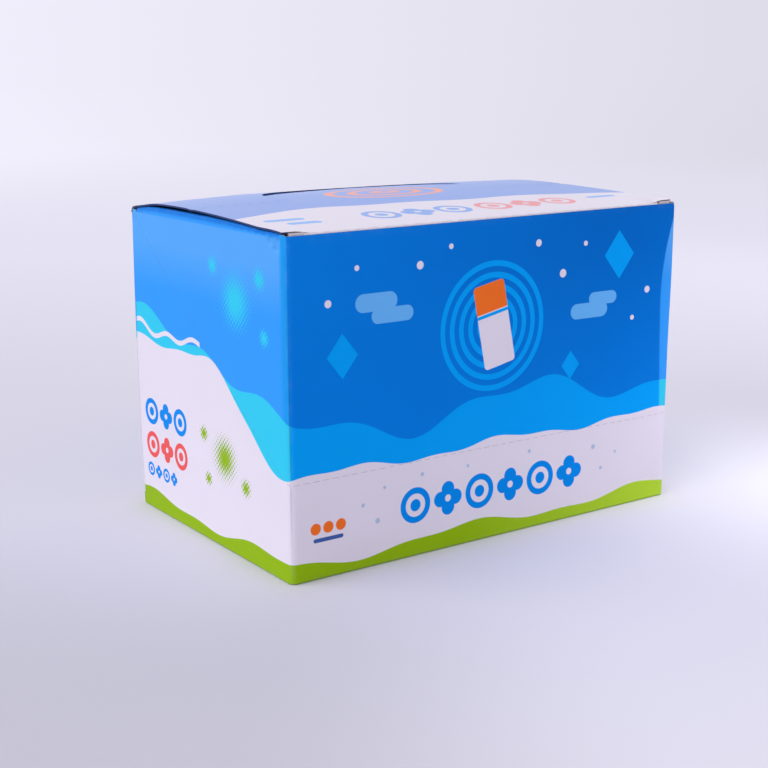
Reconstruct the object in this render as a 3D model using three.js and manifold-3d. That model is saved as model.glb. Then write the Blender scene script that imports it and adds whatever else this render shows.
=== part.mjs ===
// Shelf-ready display carton of twist-up glue sticks, closed, with one stick that works.
// Millimetres. X runs along the front, the front face looks towards -Y and Z is up.
// The origin is the middle of the footprint, on the shelf.
import * as THREE from 'three';
import { mergeVertices } from 'three/addons/utils/BufferGeometryUtils.js';
import Module from 'manifold-3d';

const wasm = await Module();
wasm.setup();

// Points closer than this are one point
const WELD = 1e-5;

// Clearances
const GAP = 0.3; // between neighbouring pieces
const SCREW_CLEARANCE = 0.6; // round the turning screw

// Glue stick
const STICK_DIAMETER = 22.2;
const STICK_HEIGHT = 90;
const KNOB_HEIGHT = 8.9;
const KNOB_INSET = 0.8; // knob radius below the barrel's
const CAP_HEIGHT = 28.3;
const CAP_WALL = 0.95;
const CAP_ROOF = 1.6;
const CAP_BEVEL = 1.3;
const NECK_WALL = 0.75;
const NECK_STOP = 8; // roof of the cap to the rim of the neck
const BARREL_FLOOR = 1.5;
const EDGE_BEVEL = 0.5;
const LABEL_THICKNESS = 0.25;
const LABEL_MARGIN = 3; // barrel left bare above and below the label
const SCREW_DIAMETER = 4;
const SCREW_TOP_SPARE = 3.6; // glue left over the end of the screw
const CARRIER_HEIGHT = 6;
const CARRIER_WALL = 0.8;
const CARRIER_CUP = 3; // depth in which the glue is seated
const GLUE_RECESS = 6; // rim of the neck to the top of the glue

// Packing
const COLUMNS = 6;
const ROWS = 4;
const COLUMN_SPACE = 1.6;
const END_SPACE = 1.4;
const REAR_SPACE = 0.4;
const TUCK_SPACE = 1.1; // tip of the tuck flap to the front row
const HEADROOM = 4.6; // tops of the sticks to the dust flaps
const WORKING_COLUMN = 3;

// Board
const BOARD = 0.5;
const CORNER_RADIUS = 1.2; // outside of an upright crease
const CORNER_STEPS = 6;

// Tuck flap
const TUCK_LENGTH = 12;
const TUCK_CORNER = 6;
const TUCK_FOLLOW = 0.25; // turn of the flap for each turn of the lid
const TUCK_LEAN_SPARE = 0.02; // radians
const TUCK_SWING = (TUCK_LENGTH * (1 + TUCK_FOLLOW) ** 2) / (2 * ROWS * STICK_DIAMETER);
const TUCK_LEAN = TUCK_SWING + TUCK_LEAN_SPARE; // just clears the front wall as the lid opens
const SLIT_LENGTH = 7;
const SLIT_WIDTH = BOARD + 2 * GAP;

// Carton, sized round its sticks
const FRONT_SPACE = GAP + TUCK_LENGTH * Math.sin(TUCK_LEAN) + BOARD + TUCK_SPACE;
const INNER_WIDTH = COLUMNS * STICK_DIAMETER + (COLUMNS - 1) * COLUMN_SPACE + 2 * END_SPACE;
const INNER_DEPTH = ROWS * STICK_DIAMETER + (ROWS - 1) * GAP + FRONT_SPACE + REAR_SPACE;
const CARTON_WIDTH = INNER_WIDTH + 2 * BOARD;
const CARTON_DEPTH = INNER_DEPTH + 2 * BOARD;
const STICK_SEAT = 2 * BOARD + GAP;
const DUST_FLAP_UNDERSIDE = STICK_SEAT + STICK_HEIGHT + HEADROOM;
const LID_UNDERSIDE = DUST_FLAP_UNDERSIDE + BOARD + GAP;
const CARTON_HEIGHT = LID_UNDERSIDE + BOARD;
const HALF_WIDTH = CARTON_WIDTH / 2;
const HALF_DEPTH = CARTON_DEPTH / 2;
const END_WALL_REACH = HALF_DEPTH - CORNER_RADIUS;

// Wall tops
const BACK_WALL_TOP = LID_UNDERSIDE - GAP;
const END_WALL_TOP = DUST_FLAP_UNDERSIDE - GAP;
const FRONT_WALL_TOP = CARTON_HEIGHT - GAP;

// Tear line: level on the front, then a shallow curve up each end to the back
const TEAR_HEIGHT = 28.8;
const TEAR_SLIT = 0.36;
const TEAR_START_FROM_BACK = 2.5;
const TEAR_SAG = 6; // control point below the straight line
const TEAR_STEPS = 16;

// Lid
const LID_REAR_HANDLE = 8;
const LID_REAR_RISE = 4.6;
const LID_FRONT_HANDLE = 36;
const LID_FRONT_RISE = 3.4;
const LID_CREASE_FROM_BACK = 41;
const LID_FRONT_EDGE = -HALF_DEPTH + BOARD + GAP;
const LID_STEPS = 16;

// Arch cut in the lid, which stands up as a header when the lid is folded for display
const ARCH_HALF_WIDTH = 40.5;
const ARCH_FOOT_FROM_BACK = 27;
const ARCH_APEX_FROM_BACK = 9;
const ARCH_STEPS = 22;

// Dust flaps
const DUST_FLAP_LENGTH = 45;
const DUST_REAR_SETBACK = 4;
const DUST_FRONT_SETBACK = 2.8;
const DUST_TAPER = THREE.MathUtils.degToRad(31);
const DUST_SHOULDER = 8;
const DUST_STEP = 2;
const DUST_FRONT_TAPER = THREE.MathUtils.degToRad(8);
const DUST_TIP_RADIUS = 5;

// Bottom
const LOCK_STEP = 9; // how far the two outer flaps hook past the middle
const LOCK_HALF_SLANT = 14;
const BOTTOM_FLAP_LENGTH = 38;
const BOTTOM_FLAP_TAPER = 15;

// Seam flap glued inside the left end
const SEAM_WIDTH = 12;
const SEAM_BELOW_TEAR = 2.5;
const SEAM_ABOVE_BOTTOM = 2.5;
const SEAM_TAPER = 3;

// Facets of a turned piece
const PACKED_SIDES = 14;
const FRONT_ROW_SIDES = 20;
const WORKING_SIDES = 28;

// Colours and finishes
const PRINTED_BLUE = { color: 0x0b6dd4, roughness: 0.45, metalness: 0 };
const PRINTED_WHITE = { color: 0xeeeaf2, roughness: 0.5, metalness: 0 };
const BARE_BOARD = { color: 0xb5a899, roughness: 0.9, metalness: 0 };
const CAP_BLUE = { color: 0x1463cf, roughness: 0.35, metalness: 0 };
const BARREL_WHITE = { color: 0xf2f3f5, roughness: 0.4, metalness: 0 };
const LABEL_BLUE = { color: 0x2a93e6, roughness: 0.4, metalness: 0 };
const GLUE_WHITE = { color: 0xf8f5ea, roughness: 0.55, metalness: 0 };

// Makes a solid from a closed geometry.
function solidOf(geometry) {
  geometry.deleteAttribute('normal');
  geometry.deleteAttribute('uv');
  const merged = mergeVertices(geometry, WELD);
  const mesh = new wasm.Mesh({
    numProp: 3,
    vertProperties: Float32Array.from(merged.attributes.position.array),
    triVerts: Uint32Array.from(merged.index.array),
  });
  return new wasm.Manifold(mesh);
}

// Turns a solid back into a geometry with flat faces.
function geometryOf(solid) {
  const mesh = solid.getMesh();
  const geometry = new THREE.BufferGeometry();
  geometry.setAttribute('position', new THREE.BufferAttribute(mesh.vertProperties, 3));
  geometry.setIndex(new THREE.BufferAttribute(mesh.triVerts, 1));
  const flat = geometry.toNonIndexed();
  flat.computeVertexNormals();
  return flat;
}

// Extrudes a plan (X, Y) upwards.
function plate(plan, bottom, thickness, steps = CORNER_STEPS) {
  const options = { depth: thickness, bevelEnabled: false, curveSegments: steps };
  const geometry = new THREE.ExtrudeGeometry(plan, options);
  return geometry.translate(0, 0, bottom);
}

// Extrudes an end view (Y, Z) along X.
function alongX(view, left, width, steps = CORNER_STEPS) {
  const options = { depth: width, bevelEnabled: false, curveSegments: steps };
  const geometry = new THREE.ExtrudeGeometry(view, options);
  const toY = new THREE.Vector3(0, 1, 0);
  const toZ = new THREE.Vector3(0, 0, 1);
  const toX = new THREE.Vector3(1, 0, 0);
  geometry.applyMatrix4(new THREE.Matrix4().makeBasis(toY, toZ, toX));
  return geometry.translate(left, 0, 0);
}

// Turns a profile of [radius, height] points about the upright axis.
function turned(profile, sides) {
  const points = profile.map(([radius, height]) => new THREE.Vector2(radius, height));
  return new THREE.LatheGeometry(points, sides).rotateX(Math.PI / 2);
}

// Adds one named piece to a group.
function addPiece(group, name, geometry, finish) {
  const piece = new THREE.Mesh(geometry, new THREE.MeshStandardMaterial(finish));
  piece.name = name;
  group.add(piece);
  return piece;
}

// Plan of the front or the back wall, whose ends turn the corner. The outside face lies on Y = 0.
function wallStripPlan() {
  const inside = CORNER_RADIUS - BOARD;
  const leftCentre = -HALF_WIDTH + CORNER_RADIUS;
  const rightCentre = HALF_WIDTH - CORNER_RADIUS;
  const plan = new THREE.Shape();
  plan.moveTo(-HALF_WIDTH, CORNER_RADIUS);
  plan.absarc(leftCentre, CORNER_RADIUS, CORNER_RADIUS, Math.PI, 1.5 * Math.PI, false);
  plan.absarc(rightCentre, CORNER_RADIUS, CORNER_RADIUS, 1.5 * Math.PI, 2 * Math.PI, false);
  plan.lineTo(HALF_WIDTH - BOARD, CORNER_RADIUS);
  plan.absarc(rightCentre, CORNER_RADIUS, inside, 0, -0.5 * Math.PI, true);
  plan.absarc(leftCentre, CORNER_RADIUS, inside, -0.5 * Math.PI, -Math.PI, true);
  plan.closePath();
  return plan;
}

// The tear line on an end wall runs from its top near the back to the front corner.
// A shift moves it up or down, to leave the slit between the two pieces.
function followTearLine(view, shift) {
  const start = HALF_DEPTH - TEAR_START_FROM_BACK;
  const bendY = (start - END_WALL_REACH) / 2;
  const bendZ = (END_WALL_TOP + TEAR_HEIGHT) / 2 - TEAR_SAG;
  view.lineTo(start - shift, END_WALL_TOP);
  view.quadraticCurveTo(bendY, bendZ + shift, -END_WALL_REACH, TEAR_HEIGHT + shift);
}

// End view of the part of an end wall that stays on the tray.
function trayEndView() {
  const view = new THREE.Shape();
  view.moveTo(-END_WALL_REACH, BOARD);
  view.lineTo(END_WALL_REACH, BOARD);
  view.lineTo(END_WALL_REACH, END_WALL_TOP);
  followTearLine(view, -TEAR_SLIT / 2);
  view.closePath();
  return view;
}

// End view of the gusset that tears off with the front panel.
function gussetView() {
  const view = new THREE.Shape();
  view.moveTo(-END_WALL_REACH, TEAR_HEIGHT + TEAR_SLIT / 2);
  view.lineTo(-END_WALL_REACH, END_WALL_TOP);
  followTearLine(view, TEAR_SLIT / 2);
  view.closePath();
  return view;
}

// End view of the seam flap. Its top runs below the tear line, so the tray keeps it.
function seamView() {
  const outer = END_WALL_REACH;
  const inner = outer - SEAM_WIDTH;
  const tearFall = (END_WALL_TOP - TEAR_HEIGHT) / (2 * END_WALL_REACH);
  const topOuter = END_WALL_TOP - SEAM_BELOW_TEAR - TEAR_SAG / 2;
  const topInner = topOuter - SEAM_WIDTH * tearFall - TEAR_SAG / 2;
  const bottom = 2 * BOARD + SEAM_ABOVE_BOTTOM;
  const view = new THREE.Shape();
  view.moveTo(outer, bottom);
  view.lineTo(outer, topOuter);
  view.lineTo(inner, topInner);
  view.lineTo(inner, bottom + SEAM_TAPER);
  view.closePath();
  return view;
}

// Plan of one outer bottom flap. Turned half a turn it makes the other one, and the two hook together.
function outerBottomPlan() {
  const plan = new THREE.Shape();
  const slack = GAP / 2;
  plan.moveTo(-HALF_WIDTH, LOCK_STEP - slack);
  plan.lineTo(-HALF_WIDTH, -HALF_DEPTH + CORNER_RADIUS);
  plan.absarc(-HALF_WIDTH + CORNER_RADIUS, -HALF_DEPTH + CORNER_RADIUS, CORNER_RADIUS,
    Math.PI, 1.5 * Math.PI, false);
  plan.absarc(HALF_WIDTH - CORNER_RADIUS, -HALF_DEPTH + CORNER_RADIUS, CORNER_RADIUS,
    1.5 * Math.PI, 2 * Math.PI, false);
  plan.lineTo(HALF_WIDTH, -LOCK_STEP - slack);
  plan.lineTo(LOCK_HALF_SLANT, -LOCK_STEP - slack);
  plan.lineTo(-LOCK_HALF_SLANT, LOCK_STEP - slack);
  plan.closePath();
  return plan;
}

// Plan of one inner bottom flap, which is glued on the outer two. side is -1 left, 1 right.
function innerBottomPlan(side) {
  const root = side * (HALF_WIDTH - BOARD);
  const tip = root - side * BOTTOM_FLAP_LENGTH;
  const rootHalf = END_WALL_REACH - GAP;
  const tipHalf = rootHalf - BOTTOM_FLAP_TAPER;
  const plan = new THREE.Shape();
  plan.moveTo(root, -rootHalf);
  plan.lineTo(tip, -tipHalf);
  plan.lineTo(tip, tipHalf);
  plan.lineTo(root, rootHalf);
  plan.closePath();
  return plan;
}

// Plan of a dust flap: a square lock shoulder at the front, a long taper at the back
// that clears the lid while both turn, and a round-cornered tip.
function dustFlapPlan(side) {
  const at = (inwards) => side * (HALF_WIDTH - inwards);
  const rear = HALF_DEPTH - DUST_REAR_SETBACK;
  const front = -HALF_DEPTH + BOARD + DUST_FRONT_SETBACK;
  const rearTip = rear - DUST_FLAP_LENGTH * Math.tan(DUST_TAPER);
  const frontTip = front + DUST_STEP + (DUST_FLAP_LENGTH - DUST_SHOULDER) * Math.tan(DUST_FRONT_TAPER);
  const r = DUST_TIP_RADIUS;
  const plan = new THREE.Shape();
  plan.moveTo(at(0), rear);
  plan.lineTo(at(0), front);
  plan.lineTo(at(DUST_SHOULDER), front);
  plan.lineTo(at(DUST_SHOULDER + DUST_STEP), front + DUST_STEP);
  plan.lineTo(at(DUST_FLAP_LENGTH - r), frontTip - r * Math.tan(DUST_FRONT_TAPER));
  plan.quadraticCurveTo(at(DUST_FLAP_LENGTH), frontTip, at(DUST_FLAP_LENGTH), frontTip + r);
  plan.lineTo(at(DUST_FLAP_LENGTH), rearTip - r);
  const rearRoundEnd = rearTip + r * Math.tan(DUST_TAPER);
  plan.quadraticCurveTo(at(DUST_FLAP_LENGTH), rearTip, at(DUST_FLAP_LENGTH - r), rearRoundEnd);
  plan.closePath();
  return plan;
}

// The whole lid as one bowed sheet, creased to the back wall and to the tuck flap.
function bowedLid() {
  const top = LID_UNDERSIDE + BOARD;
  const rearHandle = HALF_DEPTH - LID_REAR_HANDLE;
  const frontHandle = LID_FRONT_EDGE + LID_FRONT_HANDLE;
  const view = new THREE.Shape();
  view.moveTo(HALF_DEPTH, LID_UNDERSIDE);
  view.lineTo(HALF_DEPTH, top);
  view.bezierCurveTo(rearHandle, top + LID_REAR_RISE, frontHandle, top + LID_FRONT_RISE, LID_FRONT_EDGE, top);
  view.lineTo(LID_FRONT_EDGE, LID_UNDERSIDE);
  view.bezierCurveTo(frontHandle, LID_UNDERSIDE + LID_FRONT_RISE, rearHandle, LID_UNDERSIDE + LID_REAR_RISE,
    HALF_DEPTH, LID_UNDERSIDE);
  return solidOf(alongX(view, -HALF_WIDTH, CARTON_WIDTH, LID_STEPS));
}

// Upright block over the front half of the lid and its arch, grown by a margin.
function frontHalfBlock(margin) {
  const beyond = 5;
  const crease = HALF_DEPTH - LID_CREASE_FROM_BACK + margin;
  const foot = HALF_DEPTH - ARCH_FOOT_FROM_BACK;
  const rise = ARCH_FOOT_FROM_BACK - ARCH_APEX_FROM_BACK + margin;
  const reach = ARCH_HALF_WIDTH + margin;
  const plan = new THREE.Shape();
  plan.moveTo(-HALF_WIDTH - beyond, crease);
  plan.lineTo(-HALF_WIDTH - beyond, LID_FRONT_EDGE - beyond);
  plan.lineTo(HALF_WIDTH + beyond, LID_FRONT_EDGE - beyond);
  plan.lineTo(HALF_WIDTH + beyond, crease);
  plan.lineTo(reach, crease);
  plan.lineTo(reach, foot);
  plan.absellipse(0, foot, reach, rise, 0, Math.PI, false, 0);
  plan.lineTo(-reach, crease);
  plan.closePath();
  const height = 2 * beyond + LID_REAR_RISE + LID_FRONT_RISE + BOARD;
  return solidOf(plate(plan, LID_UNDERSIDE - beyond, height, ARCH_STEPS));
}

// Block that cuts the slit lock at one end of the front crease.
function slitBlock(side) {
  const beyond = 1;
  const outer = side * (HALF_WIDTH + beyond);
  const inner = side * (HALF_WIDTH - SLIT_LENGTH);
  const plan = new THREE.Shape();
  plan.moveTo(outer, LID_FRONT_EDGE - beyond);
  plan.lineTo(inner, LID_FRONT_EDGE - beyond);
  plan.lineTo(inner, LID_FRONT_EDGE + SLIT_WIDTH);
  plan.lineTo(outer, LID_FRONT_EDGE + SLIT_WIDTH);
  plan.closePath();
  const height = 2 * beyond + BOARD + LID_FRONT_RISE;
  return solidOf(plate(plan, LID_UNDERSIDE - beyond, height));
}

// Tuck flap, flat and hanging from the middle of its crease, with the ears that the slits free.
function tuckFlapGeometry() {
  const half = HALF_WIDTH - CORNER_RADIUS - GAP;
  const earInner = HALF_WIDTH - SLIT_LENGTH + GAP;
  const root = -BOARD / 2 - GAP;
  const earTop = BOARD / 2 - GAP / 2;
  const view = new THREE.Shape();
  view.moveTo(-half, earTop);
  view.lineTo(-half, -TUCK_LENGTH + TUCK_CORNER);
  view.quadraticCurveTo(-half, -TUCK_LENGTH, -half + TUCK_CORNER, -TUCK_LENGTH);
  view.lineTo(half - TUCK_CORNER, -TUCK_LENGTH);
  view.quadraticCurveTo(half, -TUCK_LENGTH, half, -TUCK_LENGTH + TUCK_CORNER);
  view.lineTo(half, earTop);
  view.lineTo(earInner, earTop);
  view.lineTo(earInner, root);
  view.lineTo(-earInner, root);
  view.lineTo(-earInner, earTop);
  view.closePath();
  return plate(view, -BOARD / 2, BOARD).rotateX(Math.PI / 2);
}

// Walls of the carton, above and below the tear line.
function addWalls(carton) {
  const strip = wallStripPlan();
  const backHeight = BACK_WALL_TOP - BOARD;
  const back = addPiece(carton, 'back_wall', plate(strip, BOARD, backHeight), PRINTED_BLUE);
  back.position.y = HALF_DEPTH;
  back.rotation.z = Math.PI;
  const trayTop = TEAR_HEIGHT - TEAR_SLIT / 2;
  const tray = addPiece(carton, 'front_tray_wall', plate(strip, BOARD, trayTop - BOARD), PRINTED_WHITE);
  tray.position.y = -HALF_DEPTH;
  const tearBottom = TEAR_HEIGHT + TEAR_SLIT / 2;
  const tearPanel = plate(strip, tearBottom, FRONT_WALL_TOP - tearBottom);
  addPiece(carton, 'front_tear_panel', tearPanel, PRINTED_BLUE).position.y = -HALF_DEPTH;
  for (const [side, left] of [['left', -HALF_WIDTH], ['right', HALF_WIDTH - BOARD]]) {
    addPiece(carton, `${side}_tray_end`, alongX(trayEndView(), left, BOARD, TEAR_STEPS), PRINTED_WHITE);
    addPiece(carton, `${side}_tear_gusset`, alongX(gussetView(), left, BOARD, TEAR_STEPS), PRINTED_BLUE);
  }
  addPiece(carton, 'glue_seam_flap', alongX(seamView(), -HALF_WIDTH + BOARD, BOARD), BARE_BOARD);
}

// Bottom with two outer flaps that hook together and two inner ones glued on them.
function addBottom(carton) {
  const outer = outerBottomPlan();
  addPiece(carton, 'bottom_front_flap', plate(outer, 0, BOARD), PRINTED_WHITE);
  addPiece(carton, 'bottom_back_flap', plate(outer, 0, BOARD), PRINTED_WHITE).rotation.z = Math.PI;
  addPiece(carton, 'bottom_left_flap', plate(innerBottomPlan(-1), BOARD, BOARD), BARE_BOARD);
  addPiece(carton, 'bottom_right_flap', plate(innerBottomPlan(1), BOARD, BOARD), BARE_BOARD);
}

// Lid halves, tuck flap and dust flaps.
function addTop(carton) {
  const lid = bowedLid();
  const rear = lid.subtract(frontHalfBlock(GAP));
  const front = lid.intersect(frontHalfBlock(0)).subtract(slitBlock(-1)).subtract(slitBlock(1));
  addPiece(carton, 'lid_rear_panel', geometryOf(rear), PRINTED_BLUE);
  addPiece(carton, 'lid_front_panel', geometryOf(front), PRINTED_WHITE);
  const tuck = addPiece(carton, 'tuck_flap', tuckFlapGeometry(), PRINTED_BLUE);
  tuck.position.set(0, LID_FRONT_EDGE + BOARD / 2, LID_UNDERSIDE + BOARD / 2);
  tuck.rotation.x = TUCK_LEAN;
  addPiece(carton, 'left_dust_flap', plate(dustFlapPlan(-1), DUST_FLAP_UNDERSIDE, BOARD), PRINTED_BLUE);
  addPiece(carton, 'right_dust_flap', plate(dustFlapPlan(1), DUST_FLAP_UNDERSIDE, BOARD), PRINTED_BLUE);
}

// Heights and radii that all the sticks share, measured from the stick's own foot
const BARREL_RADIUS = STICK_DIAMETER / 2;
const KNOB_RADIUS = BARREL_RADIUS - KNOB_INSET;
const BARREL_BOTTOM = KNOB_HEIGHT + GAP;
const CAP_BOTTOM = STICK_HEIGHT - CAP_HEIGHT;
const SHOULDER = CAP_BOTTOM - GAP;
const CAP_BORE = BARREL_RADIUS - CAP_WALL;
const NECK_RADIUS = CAP_BORE - GAP;
const BARREL_BORE = NECK_RADIUS - NECK_WALL;
const CAP_CEILING = STICK_HEIGHT - CAP_ROOF;
const NECK_TOP = CAP_CEILING - NECK_STOP;
const SCREW_RADIUS = SCREW_DIAMETER / 2;
const SCREW_HOLE = SCREW_RADIUS + SCREW_CLEARANCE;
const CARRIER_BOTTOM = BARREL_BOTTOM + BARREL_FLOOR + GAP;
const CARRIER_TOP = CARRIER_BOTTOM + CARRIER_HEIGHT;
const CARRIER_RADIUS = BARREL_BORE - GAP;
const GLUE_BOTTOM = CARRIER_TOP - CARRIER_CUP + GAP;
const GLUE_TOP = NECK_TOP - GLUE_RECESS;
const SCREW_TOP = GLUE_TOP - SCREW_TOP_SPARE - GAP;

// Outside of the knob, from its foot up.
function knobOutline() {
  return [
    [0, 0],
    [KNOB_RADIUS - EDGE_BEVEL, 0],
    [KNOB_RADIUS, EDGE_BEVEL],
    [KNOB_RADIUS, KNOB_HEIGHT - EDGE_BEVEL],
    [KNOB_RADIUS - EDGE_BEVEL, KNOB_HEIGHT],
  ];
}

// Outside of the barrel, from its bottom edge to the shoulder under the cap.
function barrelOutline() {
  return [
    [BARREL_RADIUS - EDGE_BEVEL, BARREL_BOTTOM],
    [BARREL_RADIUS, BARREL_BOTTOM + EDGE_BEVEL],
    [BARREL_RADIUS, SHOULDER],
  ];
}

// Outside of the cap, from its rim to the middle of its roof.
function capOutline() {
  return [
    [BARREL_RADIUS, CAP_BOTTOM],
    [BARREL_RADIUS, STICK_HEIGHT - CAP_BEVEL],
    [BARREL_RADIUS - CAP_BEVEL, STICK_HEIGHT],
    [0, STICK_HEIGHT],
  ];
}

// A stick of the rear rows, closed and standing among the others, as one turned body.
function packedStick() {
  const groove = [NECK_RADIUS, SHOULDER];
  const grooveTop = [NECK_RADIUS, CAP_BOTTOM];
  const profile = [...knobOutline(), ...barrelOutline(), groove, grooveTop, ...capOutline()];
  return turned(profile, PACKED_SIDES);
}

// Closed stick of the front row: knob, filled barrel and cap.
function addFrontStick(carton, name, x, y) {
  const stick = new THREE.Group();
  stick.position.set(x, y, STICK_SEAT);
  addPiece(stick, `${name}_knob`, turned([...knobOutline(), [0, KNOB_HEIGHT]], FRONT_ROW_SIDES), CAP_BLUE);
  const barrel = [[0, BARREL_BOTTOM], ...barrelOutline(), [0, SHOULDER]];
  addPiece(stick, `${name}_barrel`, turned(barrel, FRONT_ROW_SIDES), BARREL_WHITE);
  addPiece(stick, `${name}_cap`, turned([[0, CAP_BOTTOM], ...capOutline()], FRONT_ROW_SIDES), CAP_BLUE);
  carton.add(stick);
}

// Knob with its lifting screw.
function knobAndScrew() {
  const screw = [[SCREW_RADIUS, KNOB_HEIGHT], [SCREW_RADIUS, SCREW_TOP], [0, SCREW_TOP]];
  return turned([...knobOutline(), ...screw], WORKING_SIDES);
}

// Barrel: a tube with a floor for the screw, a recess for the label and a neck for the cap.
function openBarrel() {
  const recess = BARREL_RADIUS - LABEL_THICKNESS - GAP;
  const recessBottom = BARREL_BOTTOM + LABEL_MARGIN;
  const recessTop = SHOULDER - LABEL_MARGIN;
  const floorTop = BARREL_BOTTOM + BARREL_FLOOR;
  return turned([
    [SCREW_HOLE, BARREL_BOTTOM],
    [BARREL_RADIUS - EDGE_BEVEL, BARREL_BOTTOM],
    [BARREL_RADIUS, BARREL_BOTTOM + EDGE_BEVEL],
    [BARREL_RADIUS, recessBottom],
    [recess, recessBottom],
    [recess, recessTop],
    [BARREL_RADIUS, recessTop],
    [BARREL_RADIUS, SHOULDER],
    [NECK_RADIUS, SHOULDER],
    [NECK_RADIUS, NECK_TOP],
    [BARREL_BORE, NECK_TOP],
    [BARREL_BORE, floorTop],
    [SCREW_HOLE, floorTop],
    [SCREW_HOLE, BARREL_BOTTOM],
  ], WORKING_SIDES);
}

// Label sleeve in the barrel's recess.
function labelSleeve() {
  const outside = BARREL_RADIUS;
  const inside = outside - LABEL_THICKNESS;
  const bottom = BARREL_BOTTOM + LABEL_MARGIN + GAP;
  const top = SHOULDER - LABEL_MARGIN - GAP;
  const loop = [[inside, bottom], [outside, bottom], [outside, top], [inside, top], [inside, bottom]];
  return turned(loop, WORKING_SIDES);
}

// Hollow cap.
function hollowCap() {
  const bevel = CAP_BEVEL / 2;
  return turned([
    [CAP_BORE, CAP_BOTTOM],
    ...capOutline(),
    [0, CAP_CEILING],
    [CAP_BORE - bevel, CAP_CEILING],
    [CAP_BORE, CAP_CEILING - bevel],
    [CAP_BORE, CAP_BOTTOM],
  ], WORKING_SIDES);
}

// Carrier: a cup with a threaded hub that climbs the screw.
function carrierCup() {
  const cup = CARRIER_RADIUS - CARRIER_WALL;
  const cupFloor = CARRIER_TOP - CARRIER_CUP;
  return turned([
    [SCREW_HOLE, CARRIER_BOTTOM],
    [CARRIER_RADIUS, CARRIER_BOTTOM],
    [CARRIER_RADIUS, CARRIER_TOP],
    [cup, CARRIER_TOP],
    [cup, cupFloor],
    [SCREW_HOLE, cupFloor],
    [SCREW_HOLE, CARRIER_BOTTOM],
  ], WORKING_SIDES);
}

// Glue: a rod that sits in the carrier's cup and has a blind hole for the screw.
function glueRod() {
  const foot = CARRIER_RADIUS - CARRIER_WALL - GAP;
  const shoulder = CARRIER_TOP + GAP;
  return turned([
    [SCREW_HOLE, GLUE_BOTTOM],
    [foot, GLUE_BOTTOM],
    [foot, shoulder],
    [CARRIER_RADIUS, shoulder],
    [CARRIER_RADIUS, GLUE_TOP - EDGE_BEVEL],
    [CARRIER_RADIUS - EDGE_BEVEL, GLUE_TOP],
    [0, GLUE_TOP],
    [0, SCREW_TOP + GAP],
    [SCREW_HOLE, SCREW_TOP + GAP],
    [SCREW_HOLE, GLUE_BOTTOM],
  ], WORKING_SIDES);
}

// The stick that lifts out, uncaps and winds up.
function addWorkingStick(carton, x, y) {
  const stick = new THREE.Group();
  stick.position.set(x, y, STICK_SEAT);
  addPiece(stick, 'working_knob', knobAndScrew(), CAP_BLUE);
  addPiece(stick, 'working_barrel', openBarrel(), BARREL_WHITE);
  addPiece(stick, 'working_label', labelSleeve(), LABEL_BLUE);
  addPiece(stick, 'working_carrier', carrierCup(), BARREL_WHITE);
  addPiece(stick, 'working_glue', glueRod(), GLUE_WHITE);
  addPiece(stick, 'working_cap', hollowCap(), CAP_BLUE);
  carton.add(stick);
}

// All the sticks, row 1 at the front and column 1 at the left.
function addSticks(carton) {
  const firstX = -HALF_WIDTH + BOARD + END_SPACE + BARREL_RADIUS;
  const firstY = -HALF_DEPTH + BOARD + FRONT_SPACE + BARREL_RADIUS;
  for (let row = 1; row <= ROWS; row += 1) {
    const y = firstY + (row - 1) * (STICK_DIAMETER + GAP);
    for (let column = 1; column <= COLUMNS; column += 1) {
      const x = firstX + (column - 1) * (STICK_DIAMETER + COLUMN_SPACE);
      const name = `stick_r${row}c${column}`;
      if (row > 1) {
        addPiece(carton, name, packedStick(), BARREL_WHITE).position.set(x, y, STICK_SEAT);
      } else if (column === WORKING_COLUMN) {
        addWorkingStick(carton, x, y);
      } else {
        addFrontStick(carton, name, x, y);
      }
    }
  }
}

const displayCarton = new THREE.Group();
addBottom(displayCarton);
addWalls(displayCarton);
addTop(displayCarton);
addSticks(displayCarton);

export default displayCarton;
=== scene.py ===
"""Looks of a closed display carton of printed board that holds twenty-four twist-up glue sticks.

Lengths inside the making functions are millimetres in the part's own frame, +Z up, and the
meshes are written in metres. Sheet places on the walls are given as run, the way along the
wrapped wall from the back left corner round the front, and rise, the height above the ground.
"""

import math

import bmesh
import bpy
import numpy as np
from bpy.props import FloatProperty, FloatVectorProperty, IntProperty, PointerProperty
from mathutils import Matrix, Vector
from mathutils.geometry import delaunay_2d_cdt


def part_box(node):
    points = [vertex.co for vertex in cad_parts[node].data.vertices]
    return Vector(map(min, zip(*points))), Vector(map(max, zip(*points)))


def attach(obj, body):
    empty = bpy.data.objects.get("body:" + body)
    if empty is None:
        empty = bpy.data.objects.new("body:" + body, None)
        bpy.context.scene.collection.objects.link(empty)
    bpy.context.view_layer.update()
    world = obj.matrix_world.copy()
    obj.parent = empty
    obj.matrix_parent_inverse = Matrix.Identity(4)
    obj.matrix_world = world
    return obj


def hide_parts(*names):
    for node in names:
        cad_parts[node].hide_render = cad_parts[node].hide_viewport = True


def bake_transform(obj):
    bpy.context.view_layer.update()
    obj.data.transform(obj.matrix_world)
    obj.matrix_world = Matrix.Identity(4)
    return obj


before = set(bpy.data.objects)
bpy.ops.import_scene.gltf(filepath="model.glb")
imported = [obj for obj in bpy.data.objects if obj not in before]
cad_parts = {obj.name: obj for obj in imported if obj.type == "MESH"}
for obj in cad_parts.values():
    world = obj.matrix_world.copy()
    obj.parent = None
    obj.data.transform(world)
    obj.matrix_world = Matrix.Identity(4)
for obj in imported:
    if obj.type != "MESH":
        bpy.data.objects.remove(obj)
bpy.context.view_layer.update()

bl_info = {
    "name": "Display carton of glue sticks",
    "version": (1, 0, 0),
    "blender": (4, 5, 0),
    "location": "View3D > Sidebar > Carton",
    "description": "Dresses a board display carton and its glue sticks",
    "category": "Object",
}

MM = 0.001


def low(node):
    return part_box(node)[0] / MM


def high(node):
    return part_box(node)[1] / MM


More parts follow.
